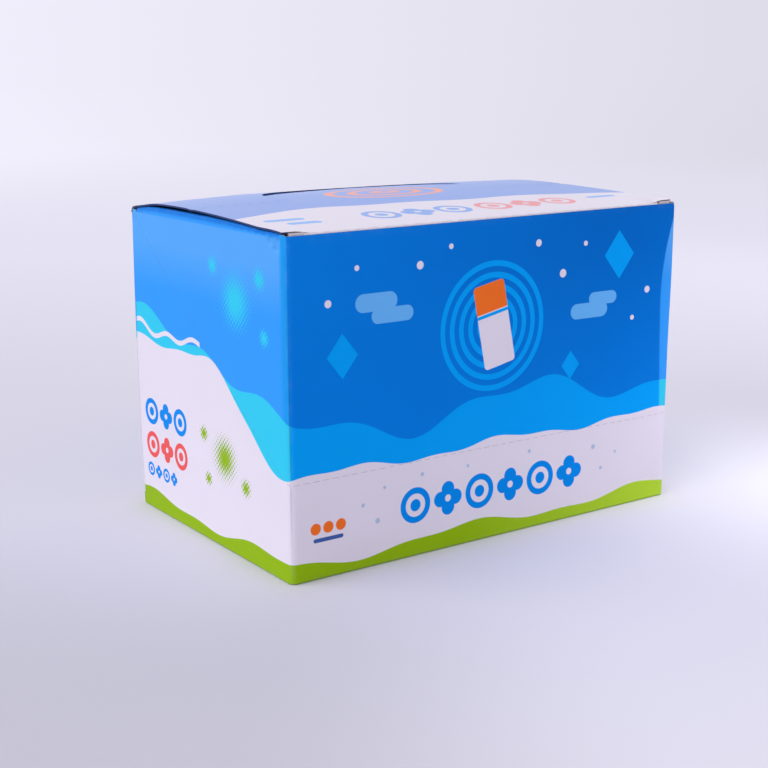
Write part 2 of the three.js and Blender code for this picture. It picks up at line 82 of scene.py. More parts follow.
# Carton, read from the frame
HALF_WIDTH = high("front_tray_wall").x
HALF_DEPTH = high("back_wall").y
WIDTH = 2 * HALF_WIDTH
DEPTH = 2 * HALF_DEPTH
GIRTH = 2 * (WIDTH + DEPTH)
BOARD = high("bottom_front_flap").z - low("bottom_front_flap").z
TEAR_HEIGHT = (high("front_tray_wall").z + low("front_tear_panel").z) / 2
FRONT_TOP = high("front_tear_panel").z
END_TOP = high("left_tray_end").z
BACK_TOP = high("back_wall").z
LID_TOP = low("lid_rear_panel").z + BOARD
LID_FRONT = low("lid_front_panel").y
DUST_TOP = high("left_dust_flap").z
DUST_LENGTH = high("left_dust_flap").x + HALF_WIDTH
TUCK_FOOT = low("tuck_flap").z

# Places of the wall's creases along the run
FRONT_LEFT = DEPTH
FRONT_RIGHT = DEPTH + WIDTH
BACK_RIGHT = 2 * DEPTH + WIDTH
CREASES = (0.0, FRONT_LEFT, FRONT_RIGHT, BACK_RIGHT, GIRTH)

# Tear line
TEAR_START = 2.5
TEAR_SAG = 6.0
SLIT = 2.2
NICK = 1.0

# Lid: its curve, its arch, how far it swells up across its width, and the slits at its front crease
LID_REAR_HANDLE = (8.0, 4.6)
LID_FRONT_HANDLE = (36.0, 3.4)
LID_CREASE = 41.0
HINGE_RADIUS = 0.8
ARCH_HALF = 38.8
ARCH_FOOT = 27.0
ARCH_APEX = 9.0
ARCH_GAP = 0.15
ARCH_SIDE_GAP = 0.03
TONGUE_HANG = (0.6, 0.4, 0.2)
SWELL = (0.0, 0.3, 0.6, 0.95, 0.95, 1.05, 0.95, 0.85, 0.75, 0.5, 0.2)
LOCK_SLIT = 6.1
LOCK_GAP = 1.1

# Tuck flap: its lean in radians, its crease and its corners
TUCK_LEAN = 0.1256
TUCK_RADIUS = 0.7
TUCK_CORNER = 6.0

# Flaps of the bottom: bevel and reach of the hooks, and how much the end flaps narrow
HOOK_BEVEL = 1.2
HOOK_REACH = 14.0
END_FLAP_TAPER = 15.0

# Dust flaps: crease, corners, tapers in degrees, and how far their face reaches below the crease
DUST_RADIUS = 1.1
DUST_CORNER = 5.0
DUST_TAPER = 31.0
DUST_FRONT_TAPER = 8.0
DUST_DROP = 1.2

# Roundness of the upright creases, as shares of the corner radius, in the order of the run
CREASE_ROUND = (1.15, 0.45, 0.8, 0.95)

# Pressed face on the front right crease: its slope, how far beside it the front evens out, the heights
# between which it widens from its top and from its foot, and how it narrows below a height
PRESS_SLOPE = 0.2
PRESS_FADE = 40.0
PRESS_TOP = 94.0
PRESS_FALL = 26.0
PRESS_FOOT = 1.0
PRESS_CLIMB = 12.0
PRESS_FULL = 65.0
PRESS_NARROW = 0.009

# Heights on a stick and the radius its print is wrapped at
KNOB_TOP = 8.9
BARREL_FOOT = 9.2
SHOULDER = 61.4
CAP_FOOT = 61.7
STICK_TOP = 90.0
STICK_RADIUS = 11.0

# Foot of the walls
FRONT_FOOT = 0.9
END_FOOT = 0.5
END_LIFT = 0.1

# How far the creases of the closed carton stand above their drawn places
FRONT_RAISE = (0.2, 0.7)
EAR_RAISE = 0.6
DUST_RAISE = (
    (4, 6, 9, 14, 28, 52, 63, 74, 81, 92),
    (1.4, 1.6, 1.9, 2.3, 2.4, 2.3, 2.1, 1.7, 1.3, 1.3),
)


# ---------------------------------------------------------------------------
# Sizes and colours that a user would change


def colour_prop(name, text, value):
    return FloatVectorProperty(
        name=name, description=text, subtype="COLOR", size=3, min=0.0, max=1.0, default=value
    )


def length_prop(name, text, value):
    return FloatProperty(
        name=name, description=text, subtype="DISTANCE", unit="LENGTH", min=0.0, default=value * MM
    )


def strength_prop(name, text, value, unit="NONE"):
    return FloatProperty(name=name, description=text, unit=unit, default=value)


class CartonLooks(bpy.types.PropertyGroup):
    """Sizes and inks of the carton."""

    corner_radius: length_prop("Corner radius", "Rounding of the upright creases", 1.9)
    pressed_width: length_prop("Pressed width", "Width of the face pressed on the front right crease", 5.8)
    slit_width: length_prop("Slit width", "Width of the cuts along the tear line", 0.07)
    deep_blue: colour_prop("Deep blue", "Ink of the sky on front and back", (0.0, 0.195, 0.72))
    light_blue: colour_prop("Light blue", "Ink of the hills on front and back", (0.0, 0.335, 0.89))
    end_blue: colour_prop("End blue", "Ink of the sky on the ends", (0.03, 0.31, 0.88))
    end_light_blue: colour_prop("End light blue", "Ink of the hills on the ends", (0.03, 0.56, 0.80))
    paper_white: colour_prop("Paper white", "Unprinted face of the board", (0.74, 0.69, 0.79))
    green: colour_prop("Green", "Ink of the ground line", (0.27, 0.45, 0.006))
    orange: colour_prop("Orange", "Accent ink", (0.86, 0.16, 0.02))
    coral: colour_prop("Coral", "Second accent ink", (0.80, 0.10, 0.10))
    shape_blue: colour_prop("Shape blue", "Ink of the rows of shapes", (0.0, 0.24, 0.78))
    reverse: colour_prop("Reverse", "Grey-brown inside of the board", (0.40, 0.34, 0.29))
    gloss: FloatProperty(
        name="Varnish roughness", description="Roughness of the varnish", min=0.0, max=1.0, default=0.28
    )


class StickLooks(bpy.types.PropertyGroup):
    """Sizes and colours of the glue sticks."""

    cap_ribs: IntProperty(name="Cap ribs", description="Grip ribs round a cap", default=36, min=8)
    knob_ribs: IntProperty(name="Knob ribs", description="Grip ribs round a knob", default=24, min=8)
    cap_colour: colour_prop("Cap", "Plastic of caps and knobs", (0.01, 0.13, 0.62))
    barrel_colour: colour_prop("Barrel", "Plastic of the barrels", (0.84, 0.85, 0.87))
    glue_colour: colour_prop("Glue", "Glue paste", (0.87, 0.84, 0.76))


class StageLooks(bpy.types.PropertyGroup):
    """Floor, lamps and camera."""

    floor_colour: colour_prop("Floor", "Floor under the carton", (0.74, 0.72, 0.82))
    backdrop: colour_prop("Backdrop", "What is seen behind the floor", (0.807, 0.783, 0.896))
    key_power: strength_prop("Key lamp", "Strength of the wide lamp on the left", 2.0)
    fill_power: strength_prop("Fill lamp", "Power of the wide lamp on the right", 0.22, "POWER")
    front_power: strength_prop("Front lamp", "Power of the wide lamp in front", 0.45, "POWER")
    foot_power: strength_prop(
        "Foot lamp", "Power of the narrow lamp on the foot of the front", 0.03, "POWER"
    )
    sky: strength_prop("Sky", "Strength of the light from all round", 0.61)


# ---------------------------------------------------------------------------
# Arithmetic in node trees


class Num:
    """A value in a node tree that ordinary arithmetic can be written with."""

    def __init__(self, tree, socket):
        self.tree = tree
        self.socket = socket

    def math(self, operation, *others, clamp=False):
        node = self.tree.nodes.new("ShaderNodeMath")
        node.operation = operation
        node.use_clamp = clamp
        for slot, value in zip(node.inputs, (self, *others)):
            put(self.tree, slot, value)
        return Num(self.tree, node.outputs[0])

    def __add__(self, other):
        return self.math("ADD", other)

    def __sub__(self, other):
        return self.math("SUBTRACT", other)

    def __mul__(self, other):
        return self.math("MULTIPLY", other)

    def __truediv__(self, other):
        return self.math("DIVIDE", other)

    def __rsub__(self, other):
        return (self * -1.0) + other

    def __neg__(self):
        return self * -1.0

    __radd__ = __add__
    __rmul__ = __mul__

    def abs(self):
        return self.math("ABSOLUTE")

    def floor(self):
        return self.math("FLOOR")

    def min(self, other):
        return self.math("MINIMUM", other)

    def max(self, other):
        return self.math("MAXIMUM", other)

    def mod(self, other):
        return self.math("FLOORED_MODULO", other)

    def clamped(self):
        """This value, kept between 0 and 1."""
        return self.math("MAXIMUM", 0.0, clamp=True)

    def wave(self, length, size, shift=0.0):
        """A sine of this value, with its length and half height."""
        return (self * (math.tau / length) + shift).math("SINE") * size

    def within(self, blur=0.12):
        """1 where a distance is below nought, 0 where it is above, with a soft edge."""
        return self.math("MULTIPLY_ADD", -1.0 / blur, 0.5, clamp=True)


def put(tree, slot, value):
    """Links a value to a socket, or writes it there."""
    if isinstance(value, Num):
        value = value.socket
    if isinstance(value, bpy.types.NodeSocket):
        tree.links.new(value, slot)
    elif hasattr(value, "__len__") and len(value) == 3 and slot.type == "RGBA":
        slot.default_value = (*value, 1.0)
    else:
        slot.default_value = value


def hypot(x, y):
    return (x * x + y * y).math("SQRT")


def smooth(share):
    """Eases a share from 0 to 1."""
    share = share.clamped()
    return share * share * (3.0 - share * 2.0)


def pill_distance(x, y, half, radius):
    return hypot((x.abs() - half).max(0.0), y) - radius


def paint(tree, mask, over, under):
    """Puts one colour over another where the mask is 1."""
    node = tree.nodes.new("ShaderNodeMix")
    node.data_type = "RGBA"
    put(tree, node.inputs[0], mask)
    put(tree, node.inputs[6], under)
    put(tree, node.inputs[7], over)
    return node.outputs[2]


def new_group(name, inputs, outputs):
    """Starts a shader node group and returns it with its input values and a way to end it."""
    group = bpy.data.node_groups.new(name, "ShaderNodeTree")
    for label, kind, value in inputs:
        socket = group.interface.new_socket(label, in_out="INPUT", socket_type=kind)
        if value is not None:
            socket.default_value = value
    for label, kind in outputs:
        group.interface.new_socket(label, in_out="OUTPUT", socket_type=kind)
    entry = group.nodes.new("NodeGroupInput")
    leave = group.nodes.new("NodeGroupOutput")
    values = {}
    for label, kind, _ in inputs:
        socket = entry.outputs[label]
        values[label] = Num(group, socket) if kind == "NodeSocketFloat" else socket

    def end(**results):
        for label, value in results.items():
            put(group, leave.inputs[label.replace("_", " ")], value)
        return group

    return group, values, end


def use_group(tree, group, **inputs):
    """Places a group in a tree and returns its node."""
    node = tree.nodes.new("ShaderNodeGroup")
    node.node_tree = group
    for label, value in inputs.items():
        put(tree, node.inputs[label.replace("_", " ")], value)
    return node


def texture(tree, kind, vector, **settings):
    """Adds a texture node on a vector."""
    node = tree.nodes.new("ShaderNodeTex" + kind)
    tree.links.new(vector, node.inputs["Vector"])
    for label, value in settings.items():
        if label in node.inputs:
            node.inputs[label].default_value = value
        else:
            setattr(node, label, value)
    return node


def scaled(tree, colour, factor):
    node = tree.nodes.new("ShaderNodeVectorMath")
    node.operation = "SCALE"
    put(tree, node.inputs[0], colour)
    put(tree, node.inputs["Scale"], factor)
    return node.outputs[0]


def attribute(tree, name):
    node = tree.nodes.new("ShaderNodeAttribute")
    node.attribute_name = name
    return node


def split(tree, vector):
    node = tree.nodes.new("ShaderNodeSeparateXYZ")
    tree.links.new(vector, node.inputs[0])
    return [Num(tree, socket) for socket in node.outputs]


def sheet_places(tree):
    """Place on the flat sheet, along it and up it."""
    return split(tree, attribute(tree, "sheet_place").outputs["Vector"])[:2]


# ---------------------------------------------------------------------------
# Effects shared by several materials

FLOAT = "NodeSocketFloat"
COLOUR = "NodeSocketColor"
VECTOR = "NodeSocketVector"


def grain_group():
    """Fibres and soft unevenness of board, or the skin of moulded plastic."""
    group, given, end = new_group(
        "Surface grain",
        [("Place", VECTOR, None), ("Fine", FLOAT, 3.0), ("Broad", FLOAT, 0.06), ("Mottle", FLOAT, 0.03)],
        [("Height", FLOAT), ("Tone", FLOAT)],
    )
    fine = texture(group, "Noise", given["Place"], Detail=3.0)
    put(group, fine.inputs["Scale"], given["Fine"])
    broad = texture(group, "Noise", given["Place"], Detail=2.0)
    put(group, broad.inputs["Scale"], given["Broad"])
    fibres = Num(group, fine.outputs[0])
    waves = Num(group, broad.outputs[0])
    tone = (fibres - 0.5) * given["Mottle"] + (waves - 0.5) * given["Mottle"] + 1.0
    return end(Height=fibres * 0.25 + waves, Tone=tone)


def wear_group():
    """Ink or skin rubbed paler along creases and edges."""
    group, given, end = new_group(
        "Edge wear",
        [
            ("Color", COLOUR, (1, 1, 1, 1)),
            ("Bare", COLOUR, (0.9, 0.9, 0.9, 1)),
            ("Edge", FLOAT, 0.0),
            ("Place", VECTOR, None),
            ("Amount", FLOAT, 0.4),
            ("Tone", FLOAT, 1.0),
            ("Roughness", FLOAT, 0.4),
        ],
        [("Color", COLOUR), ("Roughness", FLOAT)],
    )
    patches = texture(group, "Noise", given["Place"], Scale=0.22, Detail=4.0, Roughness=0.7)
    rub = (Num(group, patches.outputs[0]) - 0.42) * 3.2
    mask = (rub.max(0.12) * given["Edge"] * given["Amount"]).min(1.0)
    rubbed = paint(group, mask, given["Bare"], given["Color"])
    toned = scaled(group, rubbed, given["Tone"])
    return end(Color=toned, Roughness=given["Roughness"] + mask * 0.25)


def mask_group(name, *labels):
    """Starts a group that turns lengths into the mask of a shape."""
    return new_group(name, [(label, FLOAT, 1.0) for label in labels], [("Mask", FLOAT)])[1:]


def row_group():
    """A row of plain ornaments, ring and blossom in turn."""
    given, end = mask_group("Row of ornaments", "X", "Y", "Pitch", "Count", "Radius", "Stroke")
    pitch = given["Pitch"]
    radius = given["Radius"]
    x = given["X"].mod(pitch) - pitch * 0.5
    y = given["Y"]
    away = hypot(x, y)
    half_stroke = given["Stroke"] * 0.5
    ring = (away - radius + half_stroke).abs() - half_stroke
    ring = ring.min(away - radius * 0.34)
    petals = hypot(x.abs() - radius * 0.52, y).min(hypot(x, y.abs() - radius * 0.52)) - radius * 0.44
    blossom = petals.max(radius * 0.2 - away)
    odd = (given["X"] / pitch).floor().mod(2.0)
    shape = ring + (blossom - ring) * odd
    reach = pitch * given["Count"] * 0.5
    ends = (given["X"] - reach).abs() - reach
    return end(Mask=shape.max(ends).within())


def rings_group():
    """A disc of concentric rings."""
    given, end = mask_group("Ringed disc", "X", "Y", "Radius", "Pitch", "Line")
    away = hypot(given["X"], given["Y"])
    line = (away.mod(given["Pitch"]) - given["Pitch"] * 0.5).abs() - given["Line"] * 0.5
    return end(Mask=line.max(away - given["Radius"]).within())


def speckle_group():
    """A patch of small dots that shrink away from its middle."""
    given, end = mask_group("Speckled patch", "X", "Y", "Radius", "Pitch")
    pitch = given["Pitch"]
    across = (given["X"] + given["Y"]) * 0.7071
    along = (given["X"] - given["Y"]) * 0.7071
    dot = hypot(across.mod(pitch) - pitch * 0.5, along.mod(pitch) - pitch * 0.5)
    away = hypot(given["X"], given["Y"]) / given["Radius"]
    size = (1.06 - away) * pitch * 0.75
    return end(Mask=(dot - size).max((away - 1.0) * given["Radius"]).within(0.25))


# ---------------------------------------------------------------------------
# Materials

# Inks over the looks' own ones: the sky darker up and to the right; painted sheen at the top of the ends;
# painted shade beside the front left crease, on the front right crease and on the dust flaps past their
# crease; painted light on the ground line to the right
DUSK_BLUE = (0.0, 0.136, 0.55)
PAINTED_SHEEN_BLUE = (0.085, 0.365, 0.87)
SIDE_SHADE_BLUE = (0.012, 0.30, 0.80)
CREASE_SHADE_BLUE = (0.0, 0.11, 0.45)
FLAP_SHADE_BLUE = (0.005, 0.17, 0.64)
GREEN_IN_PAINTED_LIGHT = (0.42, 0.64, 0.038)
SPECK_BLUE = (0.40, 0.50, 0.68)
BAR_BLUE = (0.05, 0.11, 0.36)

# Places on the front and back: across, up and sizes
PALE_BLUE = (0.13, 0.43, 0.86)
CLOUDS = (
    (29.0, 77.0, 4.5, 2.6), (34.5, 73.0, 5.0, 2.2), (109.0, 66.5, 5.0, 2.4), (114.5, 70.0, 3.6, 2.0),
)
KITES = ((17.5, 63.0, 6.4), (121.0, 83.0, 7.6), (102.0, 50.0, 4.5))
DOTS = (
    (13.0, 78.0, 1.1), (22.5, 87.0, 0.8), (44.0, 86.0, 1.2), (55.0, 90.5, 0.8), (88.0, 89.0, 1.1),
    (98.0, 79.0, 1.3), (107.0, 87.5, 0.8), (133.0, 71.0, 1.1), (127.0, 62.5, 0.8),
)
SPECKS = (
    (24.0, 19.0, 0.6), (29.0, 13.5, 0.8), (31.5, 23.0, 0.5), (45.0, 24.6, 0.6), (62.0, 24.2, 0.5),
    (86.0, 24.8, 0.6), (112.5, 22.0, 0.8), (116.0, 14.5, 0.6), (122.0, 19.0, 0.5),
)


def new_material(name):
    material = bpy.data.materials.new(name)
    material.use_nodes = True
    tree = material.node_tree
    return material, tree, tree.nodes["Principled BSDF"]


# Grain of board and of moulded plastic: fine, broad and mottle
BOARD_GRAIN = (2.6, 0.055, 0.05)
PLASTIC_GRAIN = (1.2, 0.05, 0.04)
PASTE_GRAIN = (0.6, 0.2, 0.04)


def weather(tree, shader, groups, colour, bare, wear, roughness, bump, grains=BOARD_GRAIN):
    """Grain, edge wear and bump of a surface, from its sheet places."""
    place = attribute(tree, "sheet_place").outputs["Vector"]
    edge = Num(tree, attribute(tree, "edge_rub").outputs["Fac"])
    fine, broad, mottle = grains
    grain = use_group(tree, groups["grain"], Place=place, Fine=fine, Broad=broad, Mottle=mottle)
    worn = use_group(
        tree,
        groups["wear"],
        Color=colour,
        Bare=bare,
        Edge=edge,
        Place=place,
        Amount=wear,
        Tone=grain.outputs["Tone"],
        Roughness=roughness,
    )
    put(tree, shader.inputs["Base Color"], worn.outputs["Color"])
    put(tree, shader.inputs["Roughness"], worn.outputs["Roughness"])
    relief = tree.nodes.new("ShaderNodeBump")
    relief.inputs["Strength"].default_value = bump
    relief.inputs["Distance"].default_value = 0.1 * MM
    put(tree, relief.inputs["Height"], grain.outputs["Height"])
    put(tree, shader.inputs["Normal"], relief.outputs[0])


def varnish(shader, gloss, coat=1.1, base=0.0):
    """Clear varnish over the ink."""
    shader.inputs["Coat Weight"].default_value = 1.0
    shader.inputs["Coat Roughness"].default_value = gloss
    shader.inputs["Coat IOR"].default_value = coat
    shader.inputs["Specular IOR Level"].default_value = base


class Print:
    """The colour of a printed face, which shapes are painted over in turn."""

    def __init__(self, tree, groups, colour):
        self.tree = tree
        self.groups = groups
        self.colour = colour

    def shape(self, distance, ink, blur=0.12):
        self.colour = paint(self.tree, distance.within(blur), ink, self.colour)

    def effect(self, name, ink, **places):
        mask = use_group(self.tree, self.groups[name], **places).outputs[0]
        self.colour = paint(self.tree, mask, ink, self.colour)


def wall_print(tree, groups, looks):
    """Print of the walls: sky, hills, white band and ground line, with plain shapes, and painted light and
    shade at the creases, the top of the ends and the ground line.
    """
    run, rise = sheet_places(tree)
    # distance along the front or back from its left crease, and along an end from the back
    face = (run - FRONT_LEFT).mod(GIRTH * 0.5)
    along = run.min(BACK_RIGHT - run)
    # the face pressed on the front right crease is painted in the end's lighter inks, a painted highlight
    # where it turns to the light
    down = ((PRESS_TOP - rise) / PRESS_FALL).clamped()
    down = down * (2.0 - down)
    up = ((rise - PRESS_FOOT) / PRESS_CLIMB).clamped()
    narrow = 1.0 - (PRESS_FULL - rise).max(0.0) * PRESS_NARROW
    wide = down * up * narrow * (looks.pressed_width / MM)
    wide = wide * (run - BACK_RIGHT).within(0.05)
    end_and_lit_press = (WIDTH - face - wide).within(0.5)
    away = (FRONT_LEFT - run).max((run - FRONT_RIGHT).min(BACK_RIGHT + 50 - run)).max(run - (GIRTH - 50))
    lift = smooth(away / 52.0)
    hills = lift * 19.0 + 42.5 + run.wave(88.0, 4.6, 1.3) + run.wave(37.0, 2.0, 0.4)
    shore = lift * 26.5 + 30.2 + run.wave(58.0, 1.1, 2.0) + run.wave(23.0, 0.5)
    ground = run.wave(74.0, 1.5, 0.9) + run.wave(31.0, 0.6) + 5.0
    hill_ink_and_painted_light = paint(tree, end_and_lit_press, looks.end_light_blue, looks.light_blue)
    # the sky deepens up and to the right
    dusk = ((face - 5.0) / 110.0).clamped() * ((rise - 25.0) / 62.0).clamped()
    # and on the ends it pales towards the top, a painted sheen
    painted_sheen = ((rise - 74.0) / 14.0).clamped()
    end_sky_and_painted_light = paint(tree, painted_sheen, PAINTED_SHEEN_BLUE, looks.end_blue)
    # painted shade: the ink is deeper beside the front left crease and on the front right one
    beside = ((run - (FRONT_LEFT - 4.0)) / 1.6).clamped() * (run - FRONT_LEFT).within()
    end_sky_and_painted_light = paint(tree, beside, SIDE_SHADE_BLUE, end_sky_and_painted_light)
    sky_ink_and_painted_light = paint(tree, end_and_lit_press, end_sky_and_painted_light, paint(tree, dusk, DUSK_BLUE, looks.deep_blue))
    sheet = Print(tree, groups, sky_ink_and_painted_light)
    # painted shade: a dark line along the front right crease
    sheet.shape((run - FRONT_RIGHT - 0.1).abs() - 0.5, CREASE_SHADE_BLUE)
    sheet.colour = paint(tree, (rise - hills).within(), hill_ink_and_painted_light, sheet.colour)
    # sky of the front and the back
    sheet.effect(
        "rings", looks.light_blue, X=face - 71.0, Y=rise - 65.6, Radius=20.9, Pitch=3.4, Line=1.7
    )
    for x, y, half, radius in CLOUDS:
        sheet.shape(pill_distance(face - x, rise - y, half, radius), PALE_BLUE)
    for x, y, size in KITES:
        sheet.shape((face - x).abs() * 1.25 + (rise - y).abs() - size, looks.light_blue)
    for x, y, size in DOTS:
        sheet.shape(hypot(face - x, rise - y) - size, looks.paper_white)
    # plain bar and cap in the middle of the disc
    lean = 0.2
    x = (face - 71.5) * math.cos(lean) + (rise - 66.0) * math.sin(lean)
    y = (rise - 66.0) * math.cos(lean) - (face - 71.5) * math.sin(lean)
    bar = hypot((x.abs() - 4.6).max(0.0), (y.abs() - 11.6).max(0.0)) - 1.2
    sheet.shape(bar, looks.paper_white)
    sheet.shape(bar.max(4.2 - y), looks.orange)
    sheet.shape(bar.max((y - 3.4).abs() - 0.5), looks.light_blue)
    # patches of dots on the ends, in the sky
    for x, y, size in ((66.0, 76.0, 10.5), (80.0, 84.0, 4.2), (53.0, 85.0, 3.6), (82.0, 68.0, 3.4)):
        sheet.effect(
            "speckle", looks.end_light_blue, X=along - x, Y=rise - y, Radius=size, Pitch=1.25
        )
    # white band, with a crest on the ends
    sheet.shape(rise - shore, looks.paper_white)
    crest = (rise - shore - 3.4 - run.wave(17.0, 1.2)).abs() - 0.75
    sheet.shape(crest.max(along - 43.0).max(-along), looks.paper_white)
    # rows of ornaments
    for x, y, pitch, count, radius, stroke, ink in (
        (face - 36.5, rise - 15.6, 12.0, 6.0, 5.4, 1.9, looks.shape_blue),
        (along - 5.0, rise - 33.0, 9.4, 3.0, 4.3, 1.6, looks.shape_blue),
        (along - 5.0, rise - 22.0, 9.4, 3.0, 4.3, 1.6, looks.coral),
        (along - 5.0, rise - 13.4, 5.2, 4.0, 2.3, 0.9, looks.shape_blue),
    ):
        sheet.effect("row", ink, X=x, Y=y, Pitch=pitch, Count=count, Radius=radius, Stroke=stroke)
    for x, y, size in SPECKS:
        sheet.shape(hypot(face - x, rise - y) - size, SPECK_BLUE, 0.25)
    # three dots over a bar
    for x in (8.0, 12.2, 16.4):
        sheet.shape(hypot(face - x, rise - 15.0) - 1.7, looks.orange)
    sheet.shape(pill_distance(face - 12.2, rise - 11.6, 4.4, 0.6), BAR_BLUE)
    for x, y, size in ((57.0, 28.0, 8.6), (44.0, 33.0, 3.2), (69.5, 22.0, 3.6), (46.5, 19.5, 2.8)):
        sheet.effect("speckle", looks.green, X=along - x, Y=rise - y, Radius=size, Pitch=1.2)
    # the ground line on the front pales to the right, painted light
    pale = ((face - 60.0) / 80.0).clamped() * (face - WIDTH).within(0.5)
    sheet.shape(rise - ground, paint(tree, pale, GREEN_IN_PAINTED_LIGHT, looks.green))
    return sheet.colour


def lid_print(tree, groups, looks):
    """Print of the lid, from its places across and back from the hinge."""
    across, back = sheet_places(tree)
    across = across + WIDTH * 0.5
    # the band narrows towards both ends
    right = ((across - 75.0) / 70.0).clamped()
    left = ((22.0 - across) / 22.0).clamped()
    shore = across.wave(92.0, 1.6, 2.2) + across.wave(38.0, 0.7) + 60.8
    shore = shore + right * right * 13.0 + left * left * 5.0
    sheet = Print(tree, groups, looks.deep_blue)
    sheet.shape(shore - back, looks.paper_white)
    for x, ink in ((36.0, looks.shape_blue), (77.5, looks.coral)):
        sheet.effect(
            "row", ink, X=across - x, Y=77.6 - back, Pitch=13.0, Count=3.0, Radius=6.0, Stroke=2.0
        )
    middle = (across - 72.0) * 0.55
    sheet.effect("rings", looks.orange, X=middle, Y=back - 37.0, Radius=13.5, Pitch=4.5, Line=1.8)
    for x, y, half in ((12.0, 74.0, 5.0), (15.0, 80.0, 4.0), (130.0, 76.0, 4.5)):
        sheet.shape(pill_distance(across - x, back - y, half, 1.5), looks.light_blue)
    return sheet.colour


def flap_ink_and_painted_shade(tree, groups, looks):
    """Ink of the dust flaps, deepened past their crease as painted shade under the lid."""
    past, _ = sheet_places(tree)
    return paint(tree, ((past + 1.85) / 1.1).clamped(), FLAP_SHADE_BLUE, looks.end_blue)


def board_materials(looks, groups):
    """Printed faces, reverse and cut edges of the board, the lid's edges darkened as painted shade."""
    made = {}

    def add(key, name, colour, *worn):
        made[key], tree, shader = new_material(name)
        if callable(colour):
            colour = colour(tree, groups, looks)
        weather(tree, shader, groups, colour, *worn)
        return shader

    inked = ((0.30, 0.48, 0.90), 0.10, 0.42, 0.25)
    varnish(add("walls", "printed_walls", wall_print, *inked), looks.gloss)
    varnish(add("lid", "printed_lid", lid_print, *inked), looks.gloss, 1.5, 0.4)
    # dust flaps, their blue deepened by painted shade past the crease
    varnish(add("blue", "flap_blue_painted_shade", flap_ink_and_painted_shade, *inked), looks.gloss)
    varnish(add("white", "plain_white", looks.paper_white, *inked), looks.gloss)
    add("reverse", "board_reverse", looks.reverse, (0.62, 0.58, 0.52), 0.5, 0.85, 0.6)
    add("cut", "cut_edge", (0.22, 0.185, 0.17), (0.34, 0.30, 0.27), 0.4, 0.85, 0.8)
    # the lid's cut edges are painted dark navy, painted shade of the gaps beside and under the lid
    add("dark_cut", "dark_cut_edge", (0.012, 0.035, 0.14), (0.04, 0.06, 0.16), 0.4, 0.85, 0.8)
    return made


def plastic_material(name, groups, colour, roughness, bump=0.15, grains=PLASTIC_GRAIN):
    """Moulded plastic, with its flow marks and rubbed ribs."""
    material, tree, shader = new_material(name)
    pale = tuple(min(1.0, c * 0.6 + 0.3) for c in colour)
    weather(tree, shader, groups, colour, pale, 0.35, roughness, bump, grains)
    return material


def label_material(groups, looks):
    """Label film with two soft waves, from its places round and up the barrel."""
    material, tree, shader = new_material("label_film")
    round_it, up = sheet_places(tree)
    girth = math.tau * STICK_RADIUS
    low_wave = round_it.wave(girth, 3.0) + round_it.wave(girth / 3, 0.8) + 27.0
    high_wave = round_it.wave(girth, 2.4, 1.6) + 43.0
    sheet = Print(tree, groups, looks.deep_blue)
    sheet.shape(up - high_wave, looks.light_blue)
    sheet.shape(up - low_wave, looks.paper_white)
    sheet.shape(up - 15.5 - round_it.wave(girth / 2, 0.8), looks.green)
    middle = round_it + girth * 0.5
    sheet.effect(
        "row", looks.shape_blue, X=middle, Y=up - 21.5, Pitch=girth / 8, Count=8.0, Radius=3.4, Stroke=1.0
    )
    weather(tree, shader, groups, sheet.colour, (0.7, 0.75, 0.9), 0.3, 0.35, 0.1)
    varnish(shader, 0.2)
    return material


# ---------------------------------------------------------------------------
# Meshes of board


def bend(s, radius, turn):
    """Place on a creased line, along its first leg and across it, s from where its legs would meet."""
    reach = radius * math.tan(turn / 2)
    if s <= -reach:
        return s, 0.0
    if s >= reach:
        return s * math.cos(turn), s * math.sin(turn)
    angle = (s / reach + 1) * turn / 2
    return -reach + radius * math.sin(angle), radius * (1 - math.cos(angle))


def inside(x, y, loop):
    """True where a point lies in a closed loop."""
    hit = False
    for (ax, ay), (bx, by) in zip(loop, loop[1:] + loop[:1]):
        if (ay > y) != (by > y) and x < (bx - ax) * (y - ay) / (by - ay) + ax:
            hit = not hit
    return hit


def spaced(first, last, step):
    count = max(1, round((last - first) / step))
    return [first + (last - first) * i / count for i in range(count + 1)]


def fill_line(points, step):
    """Adds points so that no edge of an open line is longer than a step."""
    line = [points[0]]
    for a, b in zip(points, points[1:]):
        way = (b[0] - a[0], b[1] - a[1])
        count = max(1, math.ceil(math.hypot(*way) / step))
        line += [(a[0] + way[0] * i / count, a[1] + way[1] * i / count) for i in range(1, count + 1)]
    return line


def net_of(outline, columns, rows, margin):
    """Triangles of a sheet: its outline, with the crossings of a lattice that lie well inside."""
    loop = np.array(outline)
    start = loop
    end = np.roll(loop, -1, axis=0)
    along = end - start
    size = np.maximum((along**2).sum(1), 1e-12)
    points = [Vector(p) for p in outline]
    for x in columns:
        for y in rows:
            if not inside(x, y, outline):
                continue
            p = np.array((x, y))
            t = np.clip(((p - start) * along).sum(1) / size, 0, 1)
            gap = np.hypot(*(start + along * t[:, None] - p).T).min()
            if gap > margin:
                points.append(Vector((x, y)))
    count = len(outline)
    edges = [(i, (i + 1) % count) for i in range(count)]
    result = delaunay_2d_cdt(points, edges, [], 1, 1e-5)
    return [tuple(p) for p in result[0]], [tuple(f) for f in result[2]]


def stored_mesh(name, points, faces, kinds, place, rub, materials):
    """Mesh from points in millimetres, with each point's sheet place and rub."""
    mesh = bpy.data.meshes.new(name)
    mesh.from_pydata([Vector(p) * MM for p in points], [], faces)
    for material in materials:
        mesh.materials.append(material)
    mesh.polygons.foreach_set("material_index", kinds)
    mesh.polygons.foreach_set("use_smooth", [True] * len(faces))
    stored = mesh.attributes.new("sheet_place", "FLOAT_VECTOR", "POINT")
    stored.data.foreach_set("vector", [c for p in place for c in p])
    stored = mesh.attributes.new("edge_rub", "FLOAT", "POINT")
    stored.data.foreach_set("value", rub)
    return mesh


